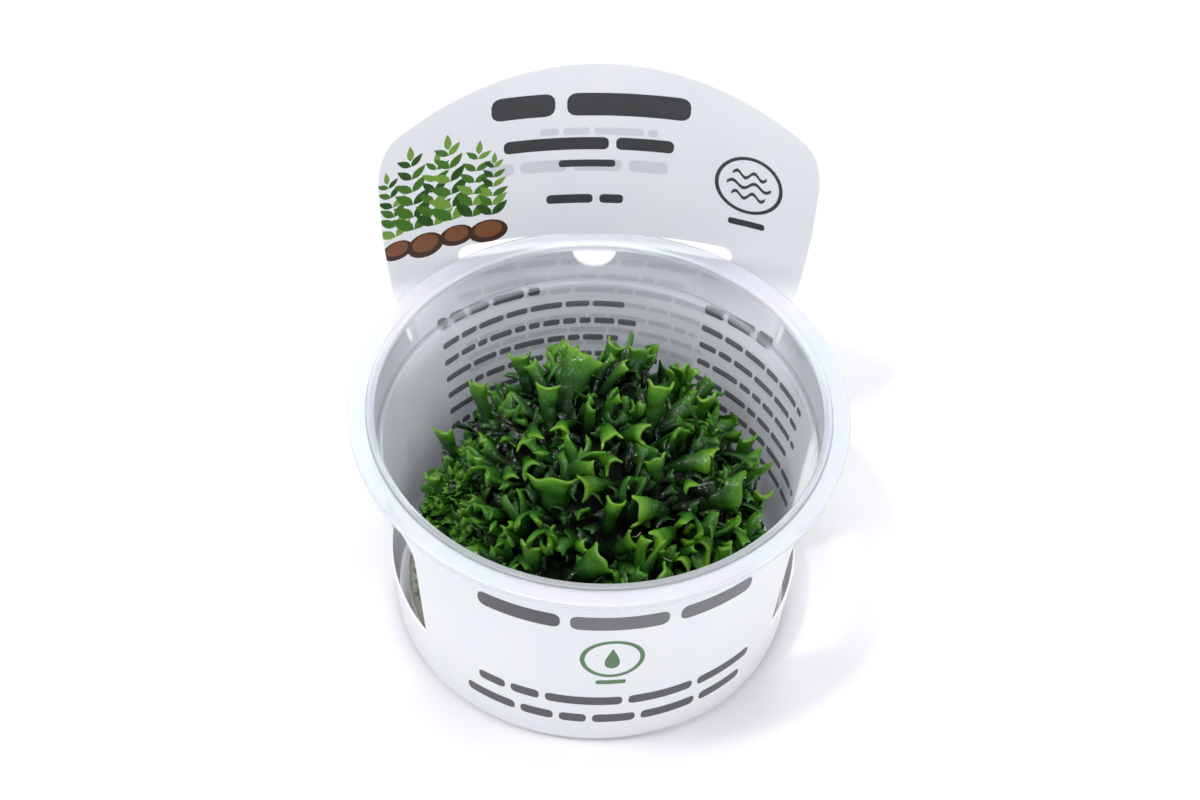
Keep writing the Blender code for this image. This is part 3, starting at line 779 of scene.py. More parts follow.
def at_front(degrees):
    """The flat sheet's place of an angle from the front, positive to the right."""
    return (math.pi - math.radians(degrees)) * WRAP_RADIUS


def front_print(draw):
    """The band's outer face: a two-weight heading, a round green emblem and two bold lines."""
    shapes = []
    for layer, start, end in FRONT_HEADING:
        left, right = at_front(end), at_front(start)
        shapes.append(bar(layer, left, 42.2 * MM, right - left, 4.6 * MM))
    emblem = (at_front(3.0), 31.7 * MM)
    shapes += ring("green", "bare", emblem, 6.7 * MM, 1.0 * MM)
    shapes.append(drop("green", (emblem[0], emblem[1] + 0.3 * MM), 3.7 * MM))
    shapes.append(bar("green", emblem[0] - 3.2 * MM, 22.4 * MM, 6.4 * MM, 1.5 * MM))
    for bottom, start, end in FRONT_LINES:
        left, right = at_front(end), at_front(start)
        shapes += bar_line("bold", left, right, bottom * MM, 3.0 * MM, draw, 17.0 * MM)
    return shapes


def back_print(draw):
    """The outer face behind the header: a few lines, shown inside as painted shade through the board."""
    shapes = []
    for left, right, bottom, height in BACK_HEADINGS:
        shapes += bar_line("text", left * MM, right * MM, bottom * MM, height * MM, draw, 12.0 * MM)
    for bottom in BACK_LINES:
        shapes += bar_line("text", -30 * MM, draw.uniform(18, 30) * MM, bottom * MM, 1.4 * MM, draw)
    return shapes


# Sleeve: sheet
def edge_points(outline, spacing):
    """An outline, counterclockwise, with points added so that no edge is longer than the spacing."""
    turn = sum(x0 * z1 - x1 * z0 for (x0, z0), (x1, z1) in zip(outline, outline[1:] + outline[:1]))
    if turn < 0:
        outline = outline[::-1]
    points = []
    for (x0, z0), (x1, z1) in zip(outline, outline[1:] + outline[:1]):
        pieces = max(1, math.ceil(math.hypot(x1 - x0, z1 - z0) / spacing))
        points += [(x0 + (x1 - x0) * i / pieces, z0 + (z1 - z0) * i / pieces) for i in range(pieces)]
    return points


def sheet_triangles(spacing, shapes):
    """The flat sheet's points and, for each triangle, its corners and the shapes that cover it."""
    cuts = [sleeve_outline(), slot_outline(), window_outline(1), window_outline(-1)]
    holes = set(range(1, len(cuts)))
    loops = [edge_points(loop, spacing) for loop in cuts + [points for _, points in shapes]]
    points, faces = [], []
    for loop in loops:
        faces.append(list(range(len(points), len(points) + len(loop))))
        points += [Vector(p) for p in loop]
    lows, highs = np.min(loops[0], axis=0), np.max(loops[0], axis=0)
    for x in np.arange(lows[0] + spacing / 3, highs[0], spacing):
        for z in np.arange(lows[1] + spacing / 3, highs[1], spacing):
            points.append(Vector((x, z)))
    flat, _, triangles, _, _, covers = delaunay_2d_cdt(points, [], faces, 0, 1e-7, True)
    kept = []
    for corners, covering in zip(triangles, covers):
        if 0 in covering and not holes & set(covering):
            kept.append((corners, sorted(i - len(cuts) for i in covering if i >= len(cuts))))
    return np.array([tuple(p) for p in flat]), kept


def layer_of(covering, shapes, printed):
    """The topmost printed layer over a triangle, among the shapes printed on one face of the sheet."""
    names = [shapes[i][0] for i in covering if i in printed]
    return names[-1] if names else "bare"


def sheet_mesh(spacing, inside, outside, layers):
    """The bent sheet as a closed mesh, each printed shape a region of it with its own material."""
    shapes = inside + outside
    flat, kept = sheet_triangles(spacing, shapes)
    used = sorted({v for corners, _ in kept for v in corners})
    renumber = {v: i for i, v in enumerate(used)}
    along, height = flat[used, 0], flat[used, 1]
    outer = bend_sheet(along, height, 0.0)
    inner = bend_sheet(along, height, SHEET_THICKNESS)
    count = len(used)
    faces, slots = [], []
    for corners, covering in kept:
        a, b, c = (renumber[v] for v in corners)
        front = layer_of(covering, shapes, range(len(inside), len(shapes)))
        back = layer_of(covering, shapes, range(len(inside)))
        # Under the outer print the bare inner face gets painted shade of the print showing through.
        if back == "bare" and front != "bare":
            back = "ghost"
        faces += [(a, c, b), (a + count, b + count, c + count)]
        slots += [layers.index(front), layers.index(back)]
    start, end = np.min(along), np.max(along)
    seam = {i for i in range(count) if min(along[i] - start, end - along[i]) < 0.001 * MM}
    edges = {pair for a, c, b in faces[::2] for pair in ((a, c), (c, b), (b, a))}
    for a, b in sorted(edges):
        if (b, a) not in edges and not {a, b} <= seam:
            faces.append((b, a, a + count, b + count))
            slots.append(layers.index("bare"))
    mesh = bpy.data.meshes.new("printed_sleeve")
    mesh.from_pydata(np.concatenate([outer, inner]).tolist(), [], faces)
    mesh.polygons.foreach_set("material_index", slots)
    bm = bmesh.new()
    bm.from_mesh(mesh)
    joined = [v for v in bm.verts if v.index % count in seam]
    bmesh.ops.remove_doubles(bm, verts=joined, dist=SEAM_WELD)
    bmesh.ops.recalc_face_normals(bm, faces=bm.faces)
    return write_mesh(mesh, bm, sharp=True)


def board_material(name, colour, gloss):
    # Coated paperboard, offset printed: even white with a soft satin coating and faint fibres
    # under it, thin enough to let light through; the ink lies flat and only changes colour and gloss.
    material, tree, sockets, place = new_material(
        name,
        IOR=1.5,
        Subsurface_Weight=1.0,
        Subsurface_Radius=(1.0, 1.0, 1.0),
        Subsurface_Scale=BOARD_LIGHT_REACH,
    )
    fibres = add_node(
        tree,
        "ShaderNodeTexNoise",
        {"Vector": place, "Scale": 1 / (0.6 * MM), "Detail": 5.0, "Roughness": 0.65},
    )
    cloud = add_node(tree, "ShaderNodeTexNoise", {"Vector": place, "Scale": 1 / (14 * MM), "Detail": 2.0})
    add_node(
        tree,
        "ShaderNodeValToRGB",
        {"Fac": cloud.outputs["Fac"]},
        {"Color": sockets["Base Color"]},
        [(0.3, [v * (1 - BOARD_CLOUDING) for v in colour]), (0.7, colour)],
    )
    add_node(
        tree,
        "ShaderNodeMapRange",
        {"Value": fibres.outputs["Fac"], "To Min": gloss - 0.05, "To Max": gloss + 0.07},
        {"Result": sockets["Roughness"]},
    )
    add_node(
        tree,
        "ShaderNodeBump",
        {"Height": fibres.outputs["Fac"], "Strength": 0.08, "Distance": 0.02 * MM},
        {"Normal": sockets["Normal"]},
    )
    return material


class CUP_OT_sleeve(Operator):
    """Make the die-cut sleeve with its header and print"""

    bl_idname = "culture_cup.sleeve"
    bl_label = "Printed Sleeve"

    def execute(self, context):
        settings = context.scene.culture_cup.sleeve
        draw = random.Random(PRINT_SEED)
        inside = header_print(draw)
        for block in INNER_BLOCKS:
            inside += inner_block(*block, draw)
        outside = front_print(draw) + back_print(draw)
        inks = {
            "bare": settings.board_colour,
            "ghost": [v * SHOW_THROUGH_SHADE for v in settings.board_colour],
            "bold": settings.ink_colour,
            "text": settings.light_ink_colour,
            "green": settings.green_ink_colour,
            **{layer: linear(colour) for layer, colour in PICTURE_INKS.items()},
        }
        mesh = sheet_mesh(settings.spacing, inside, outside, list(inks))
        materials = []
        for layer, colour in inks.items():
            gloss = BARE_GLOSS if layer in ("bare", "ghost") else INK_GLOSS
            materials.append(board_material("coated_board_" + layer, tuple(colour), gloss))
        add_piece("printed_sleeve", mesh, ["sleeve"], materials)
        return {"FINISHED"}


# Plant: form of the mound
def mound_height(x, y):
    """The mound's smooth upper surface over a point of the tub's floor."""
    reach = math.hypot(x, y) / MOUND_RADIUS
    crest = MOUND_HEIGHT + MOUND_TILT * y - MOUND_SIDE_DROP * x * x
    falloff = max(0.0, 1 - reach**MOUND_SHARPNESS) ** MOUND_SHOULDER
    return MOUND_BOTTOM + (crest - MOUND_BOTTOM) * falloff


def mound_place(spot):
    """The mound's surface, with its hills and dips, under a direction on the unit half sphere."""
    x, y = spot[0] * MOUND_RADIUS, spot[1] * MOUND_RADIUS
    smooth = np.array((x, y, mound_height(x, y)))
    hill = noise.noise(Vector(smooth) / HILL_SPAN) - HILL_SINK
    return smooth + np.array(spot) * (hill * HILL_HEIGHT * float(smoothstep(3 * spot[2])))


# Plant: ribbons of tissue
class Blade:
    """A ribbon's course: a curved centreline from root to tip, and the side that it faces."""

    def __init__(self, root, middle, tip, facing, twist=0.0, sway=0.0):
        self.root, self.middle, self.tip = (np.array(p, float) for p in (root, middle, tip))
        self.facing = np.array(facing, float)
        self.twist = twist
        self.sway = sway

    def place(self, along, across, radius, forward=0.0):
        """Points of the ribbon rolled to a radius, for arrays of its share along and metres across."""
        t = np.asarray(along)[..., None]
        centre = bezier(self.root, self.middle, self.tip, t)
        tangent = unit((self.middle - self.root) * (1 - t) + (self.tip - self.middle) * t)
        side = unit(np.cross(tangent, self.facing))
        face = np.cross(side, tangent)
        centre = centre + side * (self.sway * np.sin(2 * math.pi * t + 5 * self.twist))
        turn = self.twist * t
        turned = side * np.cos(turn) + face * np.sin(turn)
        face = face * np.cos(turn) - side * np.sin(turn)
        angle = (across / radius)[..., None]
        roll = np.asarray(radius)[..., None]
        ahead = np.asarray(forward)[..., None]
        centre = centre + turned * (roll * np.sin(angle))
        return centre + face * (roll * (1 - np.cos(angle))) + tangent * ahead


class Tissue:
    """Gathers ribbons into one mesh, with how grown each point is and each ribbon's own shade."""

    def __init__(self):
        self.points, self.faces, self.growth, self.shade = [], [], [], []
        self.count = 0

    def add(self, points, faces, growth, shade):
        """Adds one ribbon's points and faces, each point's growth and the shade of the whole."""
        self.points.append(points)
        self.faces.append(faces + self.count)
        self.growth.append(growth)
        self.shade.append(np.full(len(points), shade))
        self.count += len(points)

    def mesh(self, name):
        """The mesh of all ribbons, with growth and shade as attributes for the material."""
        mesh = bpy.data.meshes.new(name)
        faces = np.concatenate(self.faces).astype(np.int32)
        mesh.vertices.add(self.count)
        mesh.vertices.foreach_set("co", np.concatenate(self.points).astype(np.float32).ravel())
        mesh.loops.add(faces.size)
        mesh.loops.foreach_set("vertex_index", faces.ravel())
        mesh.polygons.add(len(faces))
        mesh.polygons.foreach_set("loop_start", np.arange(0, faces.size, 4, dtype=np.int32))
        for key, values in (("growth", self.growth), ("shade", self.shade)):
            attribute = mesh.attributes.new(key, "FLOAT", "POINT")
            attribute.data.foreach_set("value", np.concatenate(values).astype(np.float32))
        mesh.update(calc_edges=True)
        mesh.validate()
        mesh.shade_smooth()
        return mesh


def closed_faces(grids, count):
    """Quads over grids of point numbers, the same reversed on the lower skin, and walls between."""
    quads = []
    for grid in grids:
        corners = (grid[:-1, :-1], grid[:-1, 1:], grid[1:, 1:], grid[1:, :-1])
        quads += np.stack([c.ravel() for c in corners], axis=-1).tolist()
    edges = [(q[i], q[(i + 1) % 4]) for q in quads for i in range(4)]
    known = set(edges)
    walls = [(b, a, a + count, b + count) for a, b in edges if (b, a) not in known]
    lower = [[v + count for v in reversed(q)] for q in quads]
    return np.array(quads + lower + walls)


def grid_faces(rows, columns):
    """The faces of one ribbon's two skins."""
    count = (columns + 1) * (rows + 1)
    return closed_faces([np.arange(count).reshape(rows + 1, columns + 1)], count)


def flesh(across, along, thick, tip):
    """Thickness of soft tissue, rounded off at its side edges and over the last share of its length."""
    side = (1 - across**2) ** 0.45
    end = np.sqrt(1 - np.clip((along - 1 + tip) / tip, 0, 1) ** 2)
    return thick * np.maximum(side * end, 0.08)


def spread_across(columns, rows):
    """Shares across a ribbon from -1 to 1, closer together towards its rounded edges."""
    return np.sin(np.linspace(-1, 1, columns + 1) * math.pi / 2) * np.ones((rows + 1, 1))


def normals(points):
    """The direction out of the sheet at each of its grid points."""
    return unit(np.cross(np.gradient(points, axis=1), np.gradient(points, axis=0)))


def skins(points, thickness):
    """The upper and the lower skin of a sheet of grid points, half its thickness to either side."""
    half = normals(points) * (thickness / 2)[..., None]
    return points + half, points - half


def joined(sheets, grown):
    """The points of all upper skins, then of all lower ones, and how grown each point is."""
    points = [skin.reshape(-1, 3) for side in zip(*sheets) for skin in side]
    return np.concatenate(points), np.tile(np.concatenate([g.ravel() for g in grown]), 2)


def tip_edge(across, teeth):
    """How far a ribbon's end stands out: 1 at its two blunt corners, less at the teeth between them."""
    reach = np.abs(across)
    corner = smoothstep((reach - 0.5) / 0.38) * (1 - 0.4 * smoothstep((reach - 0.88) / 0.12))
    low = 0.5 + 0.5 * np.cos(math.pi * (across + 1) * (teeth - 1))
    return np.maximum(corner, 0.55 * low * (1 - reach**8))


def ruffle(points, size, height, seed):
    """Soft unevenness for a grid of points, as offsets along a direction."""
    flat = points.reshape(-1, 3)
    values = [noise.noise(Vector(p) / size + Vector((seed, seed, 0))) for p in flat]
    return np.array(values).reshape(points.shape[:-1]) * height


def large_thallus(row, columns, rows, seed):
    """One large thallus on its CAD solid's course, with the same width, roll and teeth."""
    root_x, root_y, tip_x, tip_y, tip_z, half_width, curl, teeth = row
    x, y = root_x * MM, root_y * MM
    root = np.array((x, y, mound_height(x, y) - ROOT_DEPTH))
    tip = np.array((tip_x, tip_y, tip_z)) * MM
    outward = unit(np.array((x, y, OUTWARD_RISE)))
    length = np.linalg.norm(tip - root)
    facing = unit(np.array((x, y - FACING_FRONT, OUTWARD_RISE)))
    blade = Blade(root, (root + tip) / 2 + outward * (THALLUS_BOW * length), tip, facing)
    share = np.linspace(0, 1, rows + 1)[:, None] * np.ones(columns + 1)
    along = 1 - (1 - share) ** 1.35
    across = spread_across(columns, rows)
    spread = THALLUS_FOOT_WIDTH + (1 - THALLUS_FOOT_WIDTH) * smoothstep(along)
    spread = spread + THALLUS_TIP_FLARE * along**4
    width = half_width * MM * (spread + 0.1 * along**12)
    tightest = 2 * width / THALLUS_THICKNESS
    bend = np.clip(curl * (1 - THALLUS_UNCURL * along**2), -tightest, tightest)
    reach = min(TOOTH_SHARE * half_width * MM, TOOTH_REACH)
    blunt = tip_edge(across, teeth) * (0.8 + 0.3 * np.sin(3.5 * across + seed))
    tooth = reach * (1.1 * blunt - 0.7 - TOOTH_SETBACK)
    forward = tooth * smoothstep((along - TEETH_START) / (1 - TEETH_START)) ** 1.5
    points = blade.place(along, across * width, 2 * width / bend, forward)
    points = points + normals(points) * ruffle(points, RUFFLE_SPAN, RUFFLE_HEIGHT, seed)[..., None]
    tip_share = TIP_ROUNDING * THALLUS_THICKNESS / length
    thickness = flesh(across, along, 1.1 * THALLUS_THICKNESS, tip_share)
    growth = np.clip(along**1.1 + 0.06 * tip_edge(across, teeth) * along**4, 0, 1.1)
    return joined([skins(points, thickness)], [growth])


def thallus_material(name, colours, wetness):
    # Liverwort thallus, grown under water: waxy translucent tissue that is bright at the young
    # tips and dark green at the old base, where the ramp's near-black low end is painted shade of
    # the depths between the lobes; a rippled film of water glints in places, and a grain of cells
    # is drawn coarser than the real one so that it shows.
    material, tree, sockets, place = new_material(
        name,
        IOR=1.38,
        Specular_IOR_Level=0.35 - 0.2 * wetness,
        Subsurface_Weight=0.36 * (1 - wetness),
        Subsurface_Scale=1.0 * MM,
        Subsurface_Radius=(0.45, 1.0, 0.12),
        Coat_Roughness=0.05,
    )
    growth = add_node(tree, "ShaderNodeAttribute", attribute_name="growth")
    shade = add_node(tree, "ShaderNodeAttribute", attribute_name="shade")
    patches = add_node(tree, "ShaderNodeTexNoise", {"Vector": place, "Scale": 1 / (3.5 * MM), "Detail": 3.0})
    cells = add_node(tree, "ShaderNodeTexVoronoi", {"Vector": place, "Scale": 1 / (0.3 * MM)})
    uneven = add_node(
        tree, "ShaderNodeMapRange", {"Value": patches.outputs["Fac"], "To Min": -0.14, "To Max": 0.14}
    )
    aged = add_node(
        tree, "ShaderNodeMath", {0: growth.outputs["Fac"], 1: uneven.outputs["Result"]}, operation="ADD"
    )
    # The ribbon's shade darkens its colour: at random for most, as painted shade for the old lobes and in
    # the hollow.
    shaded = add_node(
        tree, "ShaderNodeMath", {0: aged.outputs[0], 1: shade.outputs["Fac"]}, operation="ADD"
    )
    green = add_node(
        tree,
        "ShaderNodeValToRGB",
        {"Fac": shaded.outputs[0]},
        stops=list(zip((0.02, 0.28, 0.55, 0.8, 1.0), colours)),
    )
    speckle = add_node(
        tree, "ShaderNodeMapRange", {"Value": cells.outputs["Distance"], "To Min": 1.1, "To Max": 0.82}
    )
    add_node(
        tree,
        "ShaderNodeVectorMath",
        {0: green.outputs["Color"], "Scale": speckle.outputs["Result"]},
        {"Vector": sockets["Base Color"]},
        operation="SCALE",
    )
    add_node(
        tree,
        "ShaderNodeMapRange",
        {"Value": patches.outputs["Fac"], "To Min": 0.34, "To Max": 0.55},
        {"Result": sockets["Roughness"]},
    )
    drops = add_node(tree, "ShaderNodeTexNoise", {"Vector": place, "Scale": 1 / (0.8 * MM), "Detail": 2.0})
    add_node(
        tree,
        "ShaderNodeMapRange",
        {"Value": drops.outputs["Fac"], "From Min": 0.44 - 0.04 * wetness, "From Max": 0.6},
        {"Result": sockets["Coat Weight"]},
    )
    add_node(
        tree,
        "ShaderNodeBump",
        {"Height": drops.outputs["Fac"], "Strength": 0.6, "Distance": 0.5 * MM},
        {"Normal": sockets["Coat Normal"]},
    )
    add_node(
        tree,
        "ShaderNodeBump",
        {
            "Height": cells.outputs["Distance"],
            "Strength": 0.35 + 0.4 * wetness,
            "Distance": (0.05 + 0.1 * wetness) * MM,
        },
        {"Normal": sockets["Normal"]},
    )
    return material


def thallus_finish(context, wet=False):
    """The finish of the fresh thalli, or of old tissue under water that glints, each made once."""
    name = "liverwort_thallus_wet" if wet else "liverwort_thallus_grown"
    plant = context.scene.culture_cup.plant
    ages = ("base", "old", "middle", "young", "tip")
    colours = [getattr(plant, age + "_colour") for age in ages]
    return bpy.data.materials.get(name) or thallus_material(name, colours, float(wet))


class CUP_OT_large_thalli(Operator):
    """Make the large ribbon and tube shaped thalli"""

    bl_idname = "culture_cup.large_thalli"
    bl_label = "Large Thalli"

    def execute(self, context):
        material = thallus_finish(context)
        draw = random.Random(context.scene.culture_cup.plant.seed)
        for number, row in enumerate(THALLI, 1):
            columns, rows = 6 * row[7], 26
            tissue = Tissue()
            points, growth = large_thallus(row, columns, rows, number)
            tissue.add(points, grid_faces(rows, columns), growth, draw.uniform(-0.08, 0.05))
            name = f"large_thallus_{number:02d}"
            add_piece(name, tissue.mesh(name), [f"thallus_{number:02d}"], [material])
        return {"FINISHED"}


# Plant: forked small thalli
class ForkedForm:
    """The grid that every forked thallus shares: a stem of two halves that part into two branches."""

    def __init__(self, stem_rows=4, branch_rows=6, columns=4):
        self.rows, self.stem_rows = stem_rows + branch_rows, stem_rows
        self.fork = stem_rows / self.rows
        width = columns + 1
        left = np.arange((self.rows + 1) * width).reshape(-1, width)
        right = left + left.size
        right[: stem_rows + 1, 0] = left[: stem_rows + 1, -1]
        self.faces = closed_faces([left, right], 2 * left.size)
        self.share = np.linspace(0, 1, self.rows + 1)[:, None] * np.ones(width)
        self.local = spread_across(columns, self.rows)

    def plan(self, side, size):
        """Metres along and across of one half, laid flat, and how far each point is up its branch."""
        t = self.share
        on_stem = t <= self.fork + 1e-9
        stem = np.minimum(t / self.fork, 1.0)
        branch = np.clip((t - self.fork) / (1 - self.fork), 0, 1)
        stem_width = size["stem"] + (size["fork"] - size["stem"]) * smoothstep(stem) ** 1.5
        heading = side * size["angle"] * smoothstep(branch * 1.7)
        step = size["branch"] / (self.rows - self.stem_rows)
        centre_across = side * size["fork"] / 2 + np.cumsum(~on_stem * np.sin(heading) * step, axis=0)
        centre_along = np.cumsum(~on_stem * np.cos(heading) * step, axis=0)
        half = size["fork"] / 2 * (1 - 0.22 * np.sin(math.pi * branch)) + size["flare"] * branch**3
        ahead = size["horn"] * (tip_edge(self.local, size["teeth"]) - TEETH_MIDDLE)
        ahead = ahead * smoothstep(branch * 1.6 - 0.6)
        branch_across = centre_across + self.local * half * np.cos(heading) + ahead * np.sin(heading)
        branch_along = centre_along - self.local * half * np.sin(heading) + ahead * np.cos(heading)
        across = np.where(on_stem, (self.local + side) / 2 * stem_width, branch_across)
        along = np.where(on_stem, stem * size["trunk"], size["trunk"] + branch_along)
        return along, across, branch

    def build(self, blade, size, radius, lift):
        """Points of both skins and their growth, for one forked thallus on its blade."""
        total = size["trunk"] + size["branch"]
        sheets, grown = [], []
        for side in (-1, 1):
            along, across, branch = self.plan(side, size)
            points = blade.place(along / total, across, np.full(across.shape, radius))
            points = points + blade.facing * (side * lift * branch**2)[..., None]
            place = np.where(branch > 0, self.local, (self.local + side) / 2)
            thickness = flesh(place, along / total, size["thick"], TIP_ROUNDING * size["thick"] / total)
            sheets.append(skins(points, thickness))
            grown.append(np.clip(along / total, 0, 1.05) ** 1.2)
        return joined(sheets, grown)


def arching_blade(spot, length, draw, arch, depth=1.5 * MM, wander=1.0):
    """A blade that leaves the mound at a spot and arches over, its rounded back outward."""
    normal = np.array(spot)
    chance = np.array([draw.gauss(0, 1) for _ in range(3)])
    away = np.array((spot[0], spot[1], 0.0))
    heading = unit(wander * unit(chance - normal * chance.dot(normal)) + 0.9 * away)
    heading = unit(heading - normal * heading.dot(normal))
    start = unit(normal + 0.4 * heading)
    end = unit(normal * (1 - 0.9 * arch) + heading * (0.25 + 0.85 * arch))
    root = mound_place(spot) - normal * depth
    middle = root + start * (0.5 * length)
    tip = middle + end * (0.55 * length)
    stray = np.array([draw.gauss(0, 1) for _ in range(3)])
    facing = unit(normal - 0.5 * heading - 0.8 * np.array(FRONT_VIEW) + 0.35 * stray)
    twist, sway = draw.uniform(-0.9, 0.9), 0.07 * length * draw.uniform(-1, 1)
    return Blade(root, middle, tip, facing, twist, sway)


def lobe(blade, size, rows, columns, seed):
    """Both skins of one simple lobe or tube with a toothed mouth, and how grown each point is."""
    along = 1 - (1 - np.linspace(0, 1, rows + 1)[:, None] * np.ones(columns + 1)) ** 1.5
    across = spread_across(columns, rows)
    opening = smoothstep((along - 0.5) / 0.5) ** 1.3
    width = size["waist"] * (0.8 + 0.2 * smoothstep(2 * along))
    width = width + (size["mouth"] - size["waist"]) * opening
    width = width * (1 + 0.1 * np.sin(9 * along + seed))
    tightest = 3.2 * width / size["thick"]
    bend = np.clip(size["curl"] * (1 - size["uncurl"] * along**2), -tightest, tightest)
    teeth = tip_edge(across, size["teeth"]) * (0.75 + 0.25 * np.sin(3 * across + seed))
    forward = size["horn"] * (teeth - TEETH_MIDDLE) * smoothstep((along - 0.55) / 0.45) ** 1.4
    points = blade.place(along, across * width, 2 * width / bend, forward)
    wave_out = 0.12 * size["mouth"] * np.sin(5 * across + seed) * along**4
    points = points + blade.facing * wave_out[..., None]
    length = np.linalg.norm(blade.tip - blade.root)
    thickness = flesh(across, along, size["thick"], TIP_ROUNDING * size["thick"] / length)
    growth = np.clip(along**1.2 + 0.08 * teeth * along**4, 0, 1.1)
    return joined([skins(points, thickness)], [growth])


def large_thalli_tree(columns=6, rows=8):
    """The large thalli as a tree of faces, for telling how near a point is to them."""
    points, faces = [], []
    quads = grid_faces(rows, columns)
    for number, row in enumerate(THALLI, 1):
        faces += (quads + len(points)).tolist()
        points += large_thallus(row, columns, rows, number)[0].tolist()
    return BVHTree.FromPolygons(points, faces)


def inside_cup(blade):
    """Whether a blade's tip and middle stay clear of the tub's wall."""
    return all(math.hypot(p[0], p[1]) < PLANT_OUTER_RADIUS for p in (blade.middle, blade.tip))


def clear_of(tree, blade, clearance):
    """Whether the blade's outer half keeps off the large thalli, and out of the way of seeing them."""
    for t in (0.5, 0.75, 1.0):
        point = Vector(bezier(blade.root, blade.middle, blade.tip, t))
        if tree.find_nearest(point, clearance)[0] is not None:
            return False
        if tree.ray_cast(point, FRONT_VIEW, CLEAR_VIEW_DEPTH)[0] is not None:
            return False
    return True


def shaded_hollow(place):
    """1 in the dip right of the middle, where thalli are few and painted shade darkens them, down to 0 round
    it.
    """
    reach = math.hypot(place[0] - HOLLOW_PLACE[0], place[1] - HOLLOW_PLACE[1])
    return 1 - float(smoothstep((reach - 0.5 * HOLLOW_RADIUS) / (0.7 * HOLLOW_RADIUS)))


def has_room(place, blade, tree, clearance, draw):
    """Whether a thallus grows: above the old tissue, seldom in the hollow, with space round it."""
    if place[2] < LOWEST_THALLUS or draw.random() < HOLLOW_BARE * shaded_hollow(place):
        return False
    return inside_cup(blade) and clear_of(tree, blade, clearance)


def direction(angle, height):
    """A direction on the unit half sphere, from its angle round it and its height on it."""
    flat = math.sqrt(1 - height * height)
    return np.array((flat * math.cos(angle), flat * math.sin(angle), height))


def half_sphere(count, draw, jitter):
    """Evenly strewn directions on the upper half sphere, from the top down to its rim."""
    for i in range(count):
        yield direction(i * GOLDEN_ANGLE + draw.uniform(-jitter, jitter), 1 - (i + 0.5) / count)


def fineness(place):
    """How much smaller the growth is than at the middle: finest at the far left."""
    x, y = place[0] / MM, place[1] / MM
    return 1 - 0.38 * float(smoothstep((-x - 8) / 16)) - 0.12 * float(smoothstep((y - 5) / 15))


class Sides:
    """Gathers small thalli of one kind into three pieces: left, middle and right."""

    def __init__(self):
        self.tissues = {}

    def at(self, place):
        """The tissue that a thallus at a place of the mound belongs to."""
        x = place[0]
        side = "left" if x < -MIDDLE_HALF_WIDTH else "right" if x > MIDDLE_HALF_WIDTH else "middle"
        return self.tissues.setdefault(side, Tissue())

    def add_pieces(self, kind, material):
        """Puts the pieces in the scene."""
        for side, tissue in self.tissues.items():
            name = kind + side
            add_piece(name, tissue.mesh(name), ["thallus_mat"], [material])


class CUP_OT_forked_thalli(Operator):
    """Make the forked small thalli between the large ones"""

    bl_idname = "culture_cup.forked_thalli"
    bl_label = "Forked Thalli"

    def execute(self, context):
        plant = context.scene.culture_cup.plant
        material = thallus_finish(context)
        tree = large_thalli_tree()
        draw = random.Random(plant.seed + 1)
        sides = Sides()
        form = ForkedForm()
        for spot in half_sphere(plant.forked, draw, 0.3):
            place = mound_place(spot)
            scale = draw.uniform(0.9, 1.5) * fineness(place)
            blade = arching_blade(spot, 9.6 * MM * scale, draw, draw.uniform(0.0, 0.8))
            size = {
                "stem": draw.uniform(1.0, 1.4) * MM * scale,
                "fork": draw.uniform(1.9, 2.5) * MM * scale,
                "angle": draw.uniform(0.45, 0.9),
                "trunk": 5.4 * MM * scale,
                "branch": draw.uniform(2.6, 3.8) * MM * scale,
                "flare": draw.uniform(0.1, 0.35) * MM * scale,
                "horn": draw.uniform(0.15, 0.4) * MM * scale,
                "teeth": draw.choice((2, 2, 3)),
                "thick": draw.uniform(1.0, 1.3) * MM,
            }
            radius = draw.choice((-1, -1, -1, 1)) * draw.uniform(1.6, 2.8) * MM
            lift = draw.uniform(-1.2, 1.2) * MM
            # Darker in the hollow: painted shade of the dip.
            shade = draw.uniform(-0.26, 0.04) - HOLLOW_SHADE * shaded_hollow(place)
            if has_room(place, blade, tree, 1.0 * MM, draw):
                points, growth = form.build(blade, size, radius, lift)
                sides.at(place).add(points, form.faces, growth, shade)
        sides.add_pieces("forked_thalli_", material)
        return {"FINISHED"}


class CUP_OT_tube_thalli(Operator):
    """Make the small tubes and lobes with toothed mouths"""

    bl_idname = "culture_cup.tube_thalli"
    bl_label = "Tube Thalli"

    def execute(self, context):
        plant = context.scene.culture_cup.plant
        material = thallus_finish(context)
        tree = large_thalli_tree()
        draw = random.Random(plant.seed + 2)
        sides = Sides()
        rows, columns = 10, 10
        faces = grid_faces(rows, columns)
        for i, spot in enumerate(half_sphere(plant.tubes, draw, 0.3)):
            place = mound_place(spot)
            scale = draw.uniform(0.75, 1.45) * fineness(place)
            blade = arching_blade(spot, 8.0 * MM * scale, draw, draw.uniform(0.0, 1.0))
            waist = draw.uniform(1.2, 1.8) * MM * scale
            size = {
                "waist": waist,
                "mouth": waist * draw.uniform(1.1, 1.4),
                "curl": -draw.uniform(2.6, 5.0),
                "uncurl": draw.uniform(0.1, 0.4),
                "teeth": draw.choice((2, 2, 3, 3)),
                "horn": draw.uniform(0.25, 0.65) * MM * scale,
                "thick": draw.uniform(0.8, 1.1) * MM,
            }
            # Darker in the hollow: painted shade of the dip.
            shade = draw.uniform(-0.34, 0.04) - HOLLOW_SHADE * shaded_hollow(place)
            if has_room(place, blade, tree, 1.2 * MM, draw):
                points, growth = lobe(blade, size, rows, columns, i)
                sides.at(place).add(points, faces, growth, shade)
        sides.add_pieces("tube_thalli_", material)
        return {"FINISHED"}


